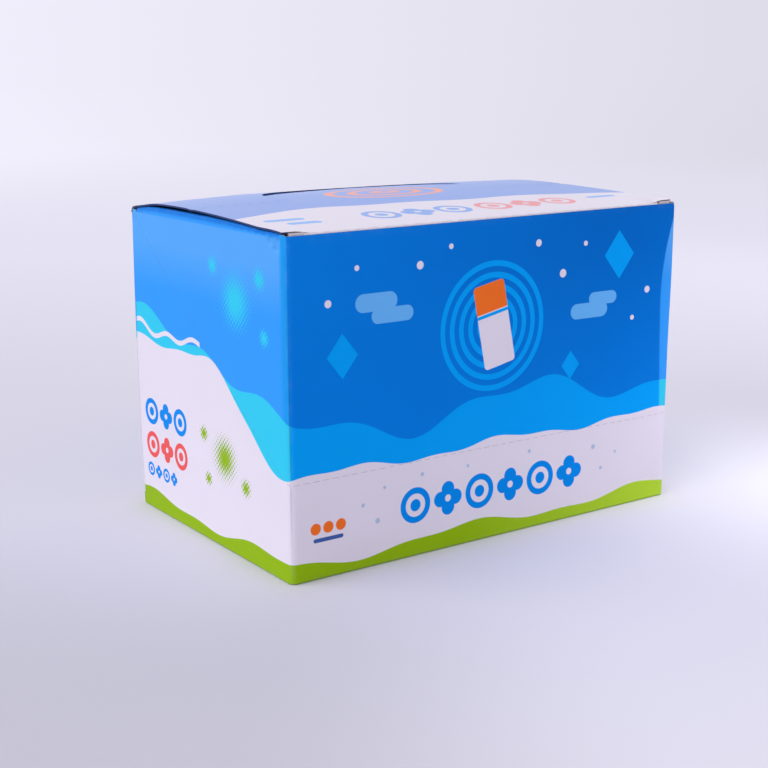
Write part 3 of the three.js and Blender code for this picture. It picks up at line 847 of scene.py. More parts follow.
def make_board(name, outline, lattice, surface, rub, materials, facing=1, margin=0.5, edge_kind=None):
    """A creased panel of board. surface gives the printed face's place for a place on the sheet."""
    columns, rows = lattice
    flat, triangles = net_of(outline, columns, rows, margin)
    step = 0.02
    outer = []
    inner = []
    ways = []
    for u, v in flat:
        here = Vector(surface(u, v))
        across = Vector(surface(u + step, v)) - Vector(surface(u - step, v))
        up = Vector(surface(u, v + step)) - Vector(surface(u, v - step))
        way = across.cross(up).normalized() * facing
        outer.append(here)
        inner.append(here - way * BOARD)
        ways.append(way)
    count = len(flat)
    faces = []
    kinds = []
    normals = []
    sides = {}
    for a, b, c in triangles:
        if facing < 0:
            a, c = c, a
        faces.append((a, b, c))
        kinds.append(0)
        normals += [ways[a], ways[b], ways[c]]
        faces.append((c + count, b + count, a + count))
        kinds.append(1)
        normals += [-ways[c], -ways[b], -ways[a]]
        for edge in ((a, b), (b, c), (c, a)):
            sides[edge] = edge
    for a, b in list(sides):
        if (b, a) in sides:
            continue
        faces.append((b, a, a + count, b + count))
        kinds.append(edge_kind(*flat[a]) if edge_kind else 2)
        out = (outer[b] - outer[a]).cross(ways[a]).normalized()
        normals += [out] * 4
    place = [(u, v, 0.0) for u, v in flat] + [(u, v, BOARD) for u, v in flat]
    worn = [rub(u, v) for u, v in flat] * 2
    mesh = stored_mesh(name, outer + inner, faces, kinds, place, worn, materials)
    mesh.update()
    mesh.normals_split_custom_set(normals)
    piece = bpy.data.objects.new(name, mesh)
    bpy.context.scene.collection.objects.link(piece)
    return piece


def board_faces(made, face, *edges):
    """Materials of a panel: its face, the reverse, the cut edge and any other edges."""
    return [made[name] for name in (face, "reverse", "cut", *edges)]


def settle(piece, nodes, slot, body=None):
    """Puts a piece in the place of its nodes. A blended piece is given no body here."""
    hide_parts(*nodes)
    if body:
        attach(piece, body)


def clamp(share):
    return min(1.0, max(0.0, share))


def ease(share):
    share = clamp(share)
    return share * share * (3 - 2 * share)


def near(distance, reach=0.9):
    return math.exp(-((distance / reach) ** 2))


# ---------------------------------------------------------------------------
# Walls


def turn_in(s, at, radius):
    """How far past a fold a place lies, rounded over a radius on both sides."""
    s -= at
    if s <= -radius:
        return 0.0
    if s >= radius:
        return s
    return (s + radius) ** 2 / (4 * radius)


def pressed(rise, looks):
    """Width of the face that is pressed flat on the front right crease."""
    down = clamp((PRESS_TOP - rise) / PRESS_FALL)
    down *= 2 - down
    up = clamp((rise - PRESS_FOOT) / PRESS_CLIMB)
    return looks.pressed_width / MM * down * up * (1 - PRESS_NARROW * max(0.0, PRESS_FULL - rise))


def upright_crease(s, number, rise, looks):
    """Place beside an upright crease: along the wall that comes in, across it, and its share of the turn."""
    radius = looks.corner_radius / MM * CREASE_ROUND[number]
    turned = turn_in(s, 0, radius)
    share = clamp((s + radius) / (2 * radius))
    wide = pressed(rise, looks) if number == 1 else 0.0
    if wide < 0.05 or s > 0:
        return s - turned, turned, share
    # the wall swells out up to the pressed face, which falls back to the crease
    swollen = (1 - turn_in(s, -wide, 0.5) / wide) if s > -wide - 0.5 else ease(1 + (s + wide) / PRESS_FADE)
    return s - turned, turned - PRESS_SLOPE * wide * max(0.0, swollen), share


def foot_share(run):
    """0 on the front and back, 1 on the ends, in between beside the upright creases."""
    run = run % GIRTH
    side = min(abs(run - place) for place in CREASES)
    share = 0.5 * min(1.0, side / 1.5)
    flat = FRONT_LEFT <= run <= FRONT_RIGHT or run >= BACK_RIGHT
    return 0.5 - share if flat else 0.5 + share


def foot_height(run):
    """The ends stand a little off the ground, because the outer bottom flaps lie under them."""
    return END_LIFT * foot_share(run)


def foot_radius(run):
    return FRONT_FOOT + (END_FOOT - FRONT_FOOT) * foot_share(run)


# Dents below the top of the left end: run, rise, width, height, depth
DENTS = (
    (86.2, 95.2, 1.0, 1.3, -0.5),
    (90.2, 95.4, 0.9, 1.7, -0.5),
    (88.2, 95.6, 0.7, 1.6, 0.2),
    (89.2, 93.2, 1.8, 0.7, -0.35),
)


def sway(run, rise):
    """Slight bulge and dents of the walls, outwards."""
    high_share = math.sin(math.pi * clamp(rise / 96.0))
    out = 0.55 * near(min(run, GIRTH - run), 14) * (0.35 + 0.65 * high_share) * ease(rise / 20)
    out += 0.3 * near(run - FRONT_RIGHT, 8) * ease((rise - 50) / 25)
    if FRONT_LEFT < run < FRONT_RIGHT:
        x = (run - FRONT_LEFT) / WIDTH
        out += -0.35 * math.sin(math.pi * x) ** 2 * high_share
        out += 0.10 * math.sin(math.tau * 1.5 * x + 0.6) * math.sin(math.pi * x) * high_share
    elif run < FRONT_LEFT:
        x = run / DEPTH
        out += -0.45 * math.sin(math.pi * x) ** 2 * high_share
        for at, up, wide, tall, deep in DENTS:
            out += deep * math.exp(-(((run - at) / wide) ** 2) - ((rise - up) / tall) ** 2)
    elif run < BACK_RIGHT:
        x = (run - FRONT_RIGHT) / DEPTH
        out += -0.4 * math.sin(math.pi * x) ** 2 * high_share
    elif run < GIRTH:
        x = (run - BACK_RIGHT) / WIDTH
        out += -0.3 * math.sin(math.pi * x) ** 2 * high_share
    return out


def wall_surface(looks):
    corners = (
        (FRONT_LEFT, Vector((-HALF_WIDTH, -HALF_DEPTH)), Vector((0, -1)), Vector((1, 0))),
        (FRONT_RIGHT, Vector((HALF_WIDTH, -HALF_DEPTH)), Vector((1, 0)), Vector((0, 1))),
        (BACK_RIGHT, Vector((HALF_WIDTH, HALF_DEPTH)), Vector((0, 1)), Vector((-1, 0))),
        (GIRTH, Vector((-HALF_WIDTH, HALF_DEPTH)), Vector((-1, 0)), Vector((0, -1))),
    )

    def surface(run, rise):
        best = None
        for number, (place, point, way_in, way_out) in enumerate(corners):
            for shifted in (run - place, run - place + GIRTH):
                if best is None or abs(shifted) < abs(best[1]):
                    best = (number, shifted, point, way_in, way_out)
        number, s, point, way_in, way_out = best
        along, across, share = upright_crease(s, number, rise, looks)
        way = way_in * (1 - share) + way_out * share
        out = Vector((way.y, -way.x)).normalized()
        foot = foot_height(run)
        inwards = turn_in(foot - rise, 0, foot_radius(run))
        spot = point + way_in * along + way_out * across + out * (sway(run % GIRTH, rise) - inwards)
        return spot.x, spot.y, rise + inwards

    return surface


def tear_rise(run):
    """Height of the tear line."""
    back = run if run < FRONT_LEFT else BACK_RIGHT - run
    if FRONT_LEFT <= run <= FRONT_RIGHT:
        return TEAR_HEIGHT
    reach = DEPTH - 2 * TEAR_START + (TEAR_START - 1.2)
    t = clamp((back - TEAR_START) / reach)
    bend_z = (END_TOP + TEAR_HEIGHT) / 2 - TEAR_SAG
    return (1 - t) ** 2 * END_TOP + 2 * t * (1 - t) * bend_z + t * t * TEAR_HEIGHT


def tear_line(looks, side):
    """The torn edge from left to right, as points of run and rise: cuts, with nicks left between."""
    half = looks.slit_width / MM / 2
    points = []
    run = TEAR_START + 0.3
    last = BACK_RIGHT - TEAR_START - 0.3
    while run < last:
        slope = (tear_rise(run + 0.1) - tear_rise(run - 0.1)) / 0.2
        stretch = math.hypot(1.0, slope)
        cut = SLIT / stretch
        for place, open_ in ((0.0, 0.0), (0.12 / stretch, 1.0), (cut - 0.12 / stretch, 1.0), (cut, 0.0)):
            if run + place < last:
                points.append((run + place, tear_rise(run + place) + side * half * open_ * stretch))
        run += cut + NICK / stretch
    points.append((last, tear_rise(last)))
    return points


def wall_lattice():
    near_crease = (0.2, 0.45, 0.7, 1.0, 1.35, 1.8, 2.3, 2.7, 3.0, 3.3, 3.7, 4.6)
    columns = []
    for place in CREASES:
        columns += [place + s * side for s in near_crease for side in (-1, 1)] + [place]
    for first, last in zip(CREASES, CREASES[1:]):
        columns += spaced(first + 7, last - 7, 5.0)
    columns += spaced(83.0, 92.0, 0.5)
    rows = [-0.7, -0.5, -0.3, -0.15, 0.0, 0.15, 0.3, 0.45, 0.7, 1.2, 2.2]
    rows += spaced(4.0, 84.0, 4.0) + spaced(86.0, 90.0, 1.0) + spaced(90.5, 96.5, 0.5)
    columns = sorted(columns)
    return [a for a, b in zip(columns, columns[1:] + [1e9]) if b - a > 0.15], rows


def wall_rub(run, rise):
    to_crease = min(abs(run % GIRTH - place) for place in CREASES)
    top = near(FRONT_TOP - rise, 0.5) if FRONT_LEFT < run < FRONT_RIGHT else 0.0
    return min(1.0, near(to_crease, 1.1) + near(rise - 0.3, 0.7) * 0.7 + top)


FLAP_REAR = 4.0
FLAP_FRONT = 3.3
WALL_SEAM = 1.6
END_CREASE = END_TOP + 0.7
CORNER_TOP = END_TOP + 1.4
FRONT_CORNER = (END_TOP + 1.8, END_TOP + 2.3)


def make_walls(looks, made):
    surface = wall_surface(looks)
    lattice = wall_lattice()
    first, last = WALL_SEAM, GIRTH + WALL_SEAM
    bottom = [first, *(run for run in lattice[0] if first + 0.2 < run < last - 0.2), last]
    bottom = [(run, foot_height(run) - foot_radius(run)) for run in bottom]
    back_top = BACK_TOP - 0.2
    top = fill_line(
        [
            (GIRTH + WALL_SEAM, END_TOP - 1.0),
            (GIRTH + 0.6, back_top),
            (BACK_RIGHT + 0.4, back_top),
            (BACK_RIGHT - 1.6, CORNER_TOP),
            (BACK_RIGHT - TEAR_START - 0.25, CORNER_TOP),
        ],
        4.0,
    )
    tear = tear_line(looks, -1)
    left_top = [(TEAR_START + 0.25, CORNER_TOP), (WALL_SEAM, CORNER_TOP)]
    outline = bottom + top + tear[::-1] + left_top
    materials = board_faces(made, "walls")
    tray = make_board("tray_walls", outline, lattice, surface, wall_rub, materials, margin=0.12)
    nodes = ("back_wall", "front_tray_wall", "left_tray_end", "right_tray_end")
    settle(tray, nodes, "printed_white_board", "carton")

    line = tear_line(looks, 1)
    crown = [
        (BACK_RIGHT - TEAR_START - 0.25, CORNER_TOP),
        (BACK_RIGHT - FLAP_REAR + 0.1, CORNER_TOP),
        (BACK_RIGHT - FLAP_REAR - 0.1, END_CREASE),
        (FRONT_RIGHT + FLAP_FRONT + 0.1, END_CREASE),
        (FRONT_RIGHT + FLAP_FRONT - 0.1, FRONT_CORNER[1]),
        (FRONT_RIGHT + 0.9, FRONT_CORNER[1]),
        (FRONT_RIGHT + 0.6, FRONT_TOP + FRONT_RAISE[1]),
        (FRONT_LEFT - 0.6, FRONT_TOP + FRONT_RAISE[0]),
        (FRONT_LEFT - 0.9, FRONT_CORNER[0]),
        (FRONT_LEFT - FLAP_FRONT + 0.1, FRONT_CORNER[0]),
        (FRONT_LEFT - FLAP_FRONT - 0.1, END_CREASE),
        (FLAP_REAR + 0.1, END_CREASE),
        (FLAP_REAR - 0.1, CORNER_TOP),
        (TEAR_START + 0.25, CORNER_TOP),
    ]
    outline = line + fill_line(crown, 2.0)
    panel = make_board("tear_off_panel", outline, lattice, surface, wall_rub, materials, margin=0.12)
    nodes = ("front_tear_panel", "left_tear_gusset", "right_tear_gusset")
    settle(panel, nodes, "printed_blue_board", "carton")


# ---------------------------------------------------------------------------
# Lid, tuck flap and dust flaps


def lid_curve():
    """Height of the lid's face for a distance from the back, from its drawn curve."""
    rear = HALF_DEPTH
    front = LID_FRONT
    ys = (rear, rear - LID_REAR_HANDLE[0], front + LID_FRONT_HANDLE[0], front)
    zs = (LID_TOP, LID_TOP + LID_REAR_HANDLE[1], LID_TOP + LID_FRONT_HANDLE[1], LID_TOP)
    t = np.linspace(0, 1, 401)
    weights = ((1 - t) ** 3, 3 * t * (1 - t) ** 2, 3 * t * t * (1 - t), t**3)
    y = sum(w * c for w, c in zip(weights, ys))
    z = sum(w * c for w, c in zip(weights, zs))
    back = rear - y
    return lambda q: float(np.interp(q, back, z))


def swell(x, q):
    """How much further than its drawn curve the board of the lid stands up, most in the middle."""
    places = (-HALF_WIDTH, -57, -48, -38, -20, 0, 15, 30, 42, 55, HALF_WIDTH)
    side = float(np.interp(x, places, SWELL))
    rear = max(0.0, q) / 10.0
    middle = side * (ease(rear) if rear < 1 else ease((DEPTH - q) / (DEPTH - 10)))
    corner = -0.4 * near(q - 8, 6) * ease((-x - 58) / 14) * ease(rear * 2)
    ear = EAR_RAISE * ease((abs(x) - HALF_WIDTH + LOCK_SLIT + 1) / 2) * ease((q - 78) / 13)
    return middle + corner + front_raise(x) * ease((q - 45) / 45) + ear


def front_raise(x):
    return FRONT_RAISE[0] + (FRONT_RAISE[1] - FRONT_RAISE[0]) * (x + HALF_WIDTH) / WIDTH


def lid_surface(height, tongue=False):
    rear_slope = math.atan2(LID_REAR_HANDLE[1], LID_REAR_HANDLE[0])
    turn = math.pi / 2 - rear_slope
    reach = HINGE_RADIUS * math.tan(turn / 2)

    def surface(x, q):
        s = q if q < 0 else q / math.cos(rear_slope)
        if s < reach:
            up, inwards = bend(s, HINGE_RADIUS, turn)
            return x, HALF_DEPTH - inwards, LID_TOP + up + swell(x, q)
        # the crease is pressed in, and the tongue's rim hangs below the edge of the opening
        press = 0.16 * near(q - LID_CREASE, 0.5) * ease((abs(x) - ARCH_HALF) / 4)
        if tongue and q < ARCH_FOOT:
            rim = math.hypot(x / ARCH_HALF, min(0.0, q - ARCH_FOOT) / (ARCH_FOOT - ARCH_APEX))
            hang = float(np.interp(x, (-ARCH_HALF, -10, ARCH_HALF), TONGUE_HANG))
            press += hang * ease((rim - 0.35) / 0.65) * ease((ARCH_FOOT - q) / 5)
        return x, HALF_DEPTH - q, height(q) + swell(x, q) - press

    return surface


def lid_rub(x, q):
    side = HALF_WIDTH - abs(x)
    crease = abs(q - LID_CREASE) if abs(x) > ARCH_HALF else 9.0
    return min(1.0, near(side, 0.6) + near(q, 0.8) + 0.6 * near(crease, 0.6) + near(DEPTH - 0.8 - q, 0.8))


def arch_points(grow):
    """The cut arch, from its right foot over its top to the left one, as places across and back."""
    points = []
    for i in range(60, -1, -1):
        angle = math.pi * (1 - i / 60)
        x = (ARCH_HALF + grow) * math.cos(angle)
        q = ARCH_FOOT - (ARCH_FOOT - ARCH_APEX + grow) * math.sin(angle)
        points.append((x, q))
    return points


def make_lid(made):
    height = lid_curve()
    surface = lid_surface(height)
    materials = board_faces(made, "lid", "dark_cut")

    # all the lid's cut edges but the front one take the dark cut edge, painted shade
    def edge_kind(x, q):
        return 2 if q > DEPTH - 4 and abs(x) < HALF_WIDTH - 0.05 else 3

    columns = spaced(-HALF_WIDTH, HALF_WIDTH, 5.0)
    crease_rows = [LID_CREASE + s for s in (-1.6, -1.0, -0.6, -0.3, 0.3, 0.6, 1.0, 1.6)]
    rows = [-0.3, -0.1, 0.1, 0.3, 0.6, 1.0, 1.5, 2.1] + spaced(3.0, DEPTH - 2, 2.5) + crease_rows
    edge = HALF_WIDTH
    beside = ARCH_HALF + ARCH_SIDE_GAP
    rear = [(-edge, -1.2), (edge, -1.2), (edge, LID_CREASE), (beside, LID_CREASE), (beside, ARCH_FOOT + 1)]
    rear = fill_line(rear, 2.5) + arch_points(ARCH_GAP)
    foot = [(-beside, ARCH_FOOT + 1), (-beside, LID_CREASE), (-edge, LID_CREASE), (-edge, -1.2)]
    rear += fill_line(foot, 2.5)[:-1]

    def board(name, outline, surface):
        lattice = (columns, sorted(rows))
        return make_board(
            name, outline, lattice, surface, lid_rub, materials, facing=-1, edge_kind=edge_kind
        )

    piece = board("lid_rear_board", rear, surface)
    settle(piece, ("lid_rear_panel",), "printed_blue_board")
    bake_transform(piece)

    front_edge = HALF_DEPTH - LID_FRONT - 0.9
    slit_edge = HALF_DEPTH - LID_FRONT - LOCK_GAP
    inner = HALF_WIDTH - LOCK_SLIT
    left = [(-ARCH_HALF, LID_CREASE), (-edge, LID_CREASE), (-edge, slit_edge)]
    left += [(-inner - 0.15, slit_edge), (-inner, slit_edge + 0.1)]
    right = [(-x, q) for x, q in reversed(left)] + [(ARCH_HALF, ARCH_FOOT)]
    front = fill_line(left, 2.5) + fill_line([(-inner, front_edge), (inner, front_edge)], 2.5)
    front += fill_line(right, 2.5)[:-1] + arch_points(0.0)
    front += fill_line([(-ARCH_HALF, ARCH_FOOT), (-ARCH_HALF, LID_CREASE)], 2.5)[1:-1]
    piece = board("lid_front_board", front, lid_surface(height, tongue=True))
    settle(piece, ("lid_front_panel",), "printed_white_board", "lid")


def make_tuck(made):
    slope = math.atan2(LID_FRONT_HANDLE[1], LID_FRONT_HANDLE[0])
    turn = math.pi / 2 - slope + TUCK_LEAN
    along = Vector((-math.cos(slope), -math.sin(slope)))
    down = Vector((math.sin(slope), -math.cos(slope)))

    front_edge = HALF_DEPTH - LID_FRONT
    half = high("tuck_flap").x
    inner = HALF_WIDTH - LOCK_SLIT

    def surface(x, q):
        s = q - front_edge
        a, b = bend(s, TUCK_RADIUS, turn)
        if abs(x) > inner + 0.02:
            # the shoulders beside the slits stay upright
            a, b = s * math.cos(turn), s * math.sin(turn)
        raised = front_raise(x) * ease(1.5 - s / 8)
        return x, LID_FRONT + along.x * a + down.x * b, LID_TOP + along.y * a + down.y * b + raised

    foot = (LID_TOP - TUCK_FOOT) / math.cos(TUCK_LEAN)
    outline = [(-inner, -0.9), (inner, -0.9), (inner, 0.8), (inner + 0.04, 0.8)]
    outline += [(inner + 0.04, -0.4), (half, -0.4)]
    angles = spaced(0, math.pi / 2, 0.2)
    r = TUCK_CORNER
    round_ = [(half - r * (1 - math.cos(a)), foot - r * (1 - math.sin(a))) for a in angles]
    outline += [(half, foot - r)] + round_[1:]
    outline += [(-x, s) for x, s in reversed(round_)]
    outline += [(-half, -0.4), (-inner - 0.04, -0.4), (-inner - 0.04, 0.8), (-inner, 0.8)]
    outline = [(x, front_edge + s) for x, s in fill_line(outline + outline[:1], 2.0)[:-1]]
    columns = spaced(-half, half, 5.0)
    rows = [-0.7, -0.5, -0.3, -0.1, 0.1, 0.3, 0.5, 0.7, 1.0, 1.5] + spaced(2.5, foot, 2.5)
    rows = [front_edge + s for s in rows]
    piece = make_board(
        "tuck_flap_board",
        outline,
        (columns, rows),
        surface,
        lambda x, q: near(q - front_edge, 0.8),
        board_faces(made, "lid"),
        facing=-1,
        margin=0.12,
    )
    settle(piece, ("tuck_flap",), "printed_white_board")
    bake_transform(piece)


def make_dust_flap(side, made):
    name = "left" if side < 0 else "right"
    rear = HALF_DEPTH - FLAP_REAR
    front = -HALF_DEPTH + FLAP_FRONT
    taper = math.tan(math.radians(DUST_TAPER))
    front_taper = math.tan(math.radians(DUST_FRONT_TAPER))
    length = DUST_LENGTH
    drop = -DUST_RADIUS - DUST_DROP
    rear_tip = rear - length * taper
    front_tip = front + 2 + (length - 8) * front_taper
    r = DUST_CORNER

    def surface(b, y):
        inwards = turn_in(b, 0, DUST_RADIUS)
        raised = float(np.interp(HALF_DEPTH - y, *DUST_RAISE))
        z = DUST_TOP + b - inwards + raised * (1 - ease(b / 20))
        if b < -DUST_RADIUS:
            upright = DUST_TOP - DUST_RADIUS + raised
            z = END_CREASE + (upright - END_CREASE) * (b - drop) / (-DUST_RADIUS - drop)
        return side * (HALF_WIDTH - inwards), y, z

    outline = [(drop, front), (8, front), (10, front + 2), (length - r, front_tip - r * front_taper)]
    corner = (length, front_tip)
    outline += quad_curve(outline[-1], corner, (length, front_tip + r), 8)
    outline += [(length, rear_tip - r)]
    outline += quad_curve((length, rear_tip - r), (length, rear_tip), (length - r, rear_tip + r * taper), 8)
    outline += [(0.6, rear), (drop, rear)]
    outline = fill_line(outline + outline[:1], 2.0)[:-1]
    columns = [-1.7, *spaced(-1.1, 1.1, 0.2), 1.6, 2.3, 3.2, 4.5, 6.5, 9.0, *spaced(12, length, 5.0)]
    rows = spaced(front, rear, 4.0)
    piece = make_board(
        f"dust_flap_{name}_board",
        outline,
        (columns, rows),
        surface,
        lambda b, y: near(b, 0.9),
        board_faces(made, "blue"),
        facing=-side,
        margin=0.12,
    )
    settle(piece, (f"{name}_dust_flap",), "printed_blue_board")
    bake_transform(piece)


def quad_curve(a, b, c, count):
    points = []
    for i in range(1, count + 1):
        t = i / count
        points.append(tuple((1 - t) ** 2 * p + 2 * t * (1 - t) * q + t * t * r for p, q, r in zip(a, b, c)))
    return points


# ---------------------------------------------------------------------------
# Bottom and seam flap


def make_bottom(made):
    half = HALF_WIDTH - END_FOOT - 0.15

    def flap(name, plan, reach, lift, slot):
        """One flap of the bottom, flat at a height."""
        piece = make_board(
            f"bottom_{name}_board",
            fill_line(plan + plan[:1], 4.0)[:-1],
            (spaced(-reach, reach, 9.0), spaced(-HALF_DEPTH, HALF_DEPTH, 9.0)),
            lambda x, y: (x, y, lift),
            lambda x, y: near(HALF_WIDTH - abs(x), 0.8),
            board_faces(made, "white"),
            facing=-1,
        )
        settle(piece, (f"bottom_{name}_flap",), slot, "carton")

    # the hooked flaps of front and back
    root = -HALF_DEPTH + FRONT_FOOT
    step = high("bottom_front_flap").y
    slack = step + low("bottom_back_flap").y
    bevel = HOOK_BEVEL
    plan = [(-half, step), (-half, root + bevel), (-half + bevel, root)]
    plan += [(half - bevel, root), (half, root + bevel)]
    plan += [(half, -step + slack), (HOOK_REACH, -step + slack), (-HOOK_REACH, step)]
    flap("front", plan, half, 0.0, "printed_white_board")
    flap("back", [(-x, -y) for x, y in plan], half, 0.0, "printed_white_board")

    # the tapered flaps of the ends, which lie on them
    tip = HALF_WIDTH - BOARD - (high("bottom_left_flap").x - low("bottom_left_flap").x)
    root_half = high("bottom_left_flap").y
    tip_half = root_half - END_FLAP_TAPER
    for name, side in (("left", -1), ("right", 1)):
        plan = [(side * half, -root_half), (side * tip, -tip_half)]
        plan += [(side * tip, tip_half), (side * half, root_half)]
        flap(name, plan, HALF_WIDTH, BOARD, "bare_board")


def make_seam_flap(made):
    box_low = low("glue_seam_flap")
    box_high = high("glue_seam_flap")
    x = box_low.x
    outer = HALF_DEPTH - 1.4
    inner = box_low.y
    top = box_high.z
    fall = (END_TOP - TEAR_HEIGHT) / (DEPTH - 2.4) * (outer - inner) + 3
    plan = [(outer, box_low.z), (outer, top), (inner, top - fall), (inner, box_low.z + 3)]
    outline = fill_line(plan + plan[:1], 4.0)[:-1]
    piece = make_board(
        "glue_seam_board",
        outline,
        (spaced(inner, outer, 4.0), spaced(4, 92, 8.0)),
        lambda y, z: (x, y, z),
        lambda y, z: near(outer - y, 0.8),
        board_faces(made, "white"),
        facing=-1,
    )
    settle(piece, ("glue_seam_flap",), "bare_board", "carton")


# ---------------------------------------------------------------------------
# Glue sticks

# Distance in metres below which points are one, and the angle in degrees that keeps an edge sharp
MERGE = 1e-7
SHARP_ANGLE = 38.0


def turned_mesh(name, parts, sides, materials):
    """Lathe mesh of parts: a closed profile of radius, height and any rib depth, ribs and material."""
    points = []
    faces = []
    kinds = []
    place = []
    rub = []
    for profile, ribs, kind in parts:
        start = len(points)
        rows = len(profile)
        for radius, z, *ribbed in profile:
            depth = sum(ribbed)
            for i in range(sides):
                angle = math.tau * i / sides
                groove = 0.5 - 0.5 * math.cos(ribs * angle)
                r = radius - depth * groove
                points.append(Vector((r * math.cos(angle), r * math.sin(angle), z)))
                place.append(((angle - math.pi) * STICK_RADIUS, z, radius))
                rub.append(1.0 - groove if depth > 0 else 0.0)
        for j in range(rows):
            k = (j + 1) % rows
            if profile[j][0] == 0 and profile[k][0] == 0:
                continue
            for i in range(sides):
                n = (i + 1) % sides
                a, b = start + j * sides + i, start + j * sides + n
                c, d = start + k * sides + n, start + k * sides + i
                faces.append((a, b, c, d))
                kinds.append(kind)
    mesh = stored_mesh(name, points, faces, kinds, place, rub, materials)
    work = bmesh.new()
    work.from_mesh(mesh)
    bmesh.ops.remove_doubles(work, verts=work.verts, dist=MERGE)
    bmesh.ops.dissolve_degenerate(work, edges=work.edges, dist=MERGE)
    work.to_mesh(mesh)
    work.free()
    mesh.update()
    mesh.set_sharp_from_angle(angle=math.radians(SHARP_ANGLE))
    return mesh


CAP = [
    (11.1, CAP_FOOT + 0.4), (11.1, CAP_FOOT + 2.6), (11.02, CAP_FOOT + 3.1), (11.1, CAP_FOOT + 3.6, 0.3),
    (11.08, STICK_TOP - 4.4, 0.3), (11.02, STICK_TOP - 3.6), (11.0, STICK_TOP - 1.5),
    (10.75, STICK_TOP - 0.7), (10.2, STICK_TOP - 0.2), (9.4, STICK_TOP - 0.05),
    (8.6, STICK_TOP - 0.35), (0, STICK_TOP - 0.35), (0, STICK_TOP - 1.6), (9.6, STICK_TOP - 1.6),
    (10.15, STICK_TOP - 2.2), (10.15, CAP_FOOT + 0.3), (10.4, CAP_FOOT), (10.9, CAP_FOOT),
]
KNOB = [
    (0, 0.9), (7.4, 0.9), (7.9, 0.2), (8.4, 0), (9.6, 0), (10.1, 0.4), (10.3, 1.0, 0.32),
    (10.3, KNOB_TOP - 1.4, 0.32), (10.2, KNOB_TOP - 0.7), (9.8, KNOB_TOP - 0.1), (9.3, KNOB_TOP),
    (0, KNOB_TOP),
]
BARREL_SKIN = [
    (10.7, BARREL_FOOT), (11.0, BARREL_FOOT + 0.3), (11.1, BARREL_FOOT + 0.9),
    (11.1, BARREL_FOOT + 2.9), (10.85, BARREL_FOOT + 3.0), (10.85, SHOULDER - 3.0),
    (11.1, SHOULDER - 2.9), (11.1, SHOULDER - 0.4), (10.8, SHOULDER),
]
CLOSED_BARREL = [*BARREL_SKIN, (0, SHOULDER), (0, BARREL_FOOT)]
OPEN_BARREL = [
    *BARREL_SKIN, (9.9, SHOULDER), (9.85, SHOULDER + 0.3), (9.85, 79.9), (9.6, 80.4), (9.3, 80.4),
    (9.1, 80.0), (9.1, BARREL_FOOT + 0.2), (9.3, BARREL_FOOT),
]
LABEL_FOOT = BARREL_FOOT + 3.15
LABEL_TOP = SHOULDER - 3.15
LABEL = [
    (10.86, LABEL_FOOT), (11.04, LABEL_FOOT), (11.05, LABEL_FOOT + 0.5), (11.05, LABEL_TOP - 0.5),
    (11.04, LABEL_TOP), (10.86, LABEL_TOP),
]
SCREW = [(2.0, KNOB_TOP), (2.0, 70.0), (1.6, 70.5), (0, 70.5), (0, KNOB_TOP)]
CARRIER = [
    (2.3, 11.0), (8.5, 11.0), (8.8, 11.3), (8.8, 16.8), (8.6, 17.0), (8.1, 17.0), (8.0, 14.3),
    (2.3, 14.3),
]
GLUE = [
    (2.3, 14.6), (7.7, 14.6), (7.7, 17.3), (8.75, 17.6), (8.75, 72.8), (8.5, 73.6), (7.8, 74.1),
    (6.0, 74.35), (3.0, 74.4), (0, 74.4), (0, 72.0), (2.3, 71.0),
]


def hang(node, mesh, place, body, slot):
    """Puts a mesh in a node's place."""
    piece = bpy.data.objects.new(node + "_look", mesh)
    bpy.context.scene.collection.objects.link(piece)
    piece.location = Vector(place) * MM
    settle(piece, (node,), slot, body)


def make_sticks(looks, made):
    plastics = [made["cap"], made["barrel"], made["label"]]
    knob_part = (KNOB, looks.knob_ribs, 0)
    barrel_part = (CLOSED_BARREL, 0, 1)
    label_part = (LABEL, 0, 2)
    cap_part = (CAP, looks.cap_ribs, 0)

    def turned(name, *parts, materials=plastics):
        return turned_mesh(name, parts, looks.cap_ribs * 4, materials)

    whole = turned("glue_stick", knob_part, barrel_part, label_part, cap_part)
    shapes = {
        "knob": (turned("knob", knob_part), "cap_plastic"),
        "barrel": (turned("barrel", barrel_part, label_part), "barrel_plastic"),
        "cap": (turned("cap", cap_part), "cap_plastic"),
    }
    seat = low("stick_r2c1").z
    for node in sorted(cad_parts):
        if node.startswith("stick_r"):
            middle = (low(node) + high(node)) / 2
            mesh, slot = shapes.get(node.split("_")[-1], (whole, "barrel_plastic"))
            hang(node, mesh, (middle.x, middle.y, seat), "carton", slot)
    middle = (low("working_barrel") + high("working_barrel")) / 2
    place = (middle.x, middle.y, low("working_knob").z)
    for name, parts, body, slot in (
        ("knob", (knob_part, (SCREW, 0, 1)), "knob", "cap_plastic"),
        ("barrel", ((OPEN_BARREL, 0, 1),), "stick", "barrel_plastic"),
        ("label", (label_part,), "stick", "label_film"),
        ("cap", (cap_part,), "cap", "cap_plastic"),
        ("carrier", ((CARRIER, 0, 1),), "carrier", "barrel_plastic"),
    ):
        node = "working_" + name
        hang(node, turned(node, *parts), place, body, slot)
    glue = turned("working_glue", (GLUE, 0, 0), materials=[made["glue"]])
    hang("working_glue", glue, place, "carrier", "glue_paste")


# ---------------------------------------------------------------------------
# Stage


# Towards the right and away from the camera, on the floor
ACROSS = (0.82, -0.572)
AWAY = (0.572, 0.82)

CAMERA_PLACE = (-259.11, -359.35, 140.77)
CAMERA_WAY = (0.558077, 0.799088, -0.223625)
CAMERA_ROLL = -0.216
CAMERA_LENS = 65.07
CAMERA_SENSOR = 36.0
FLOOR_HALF = 8.0


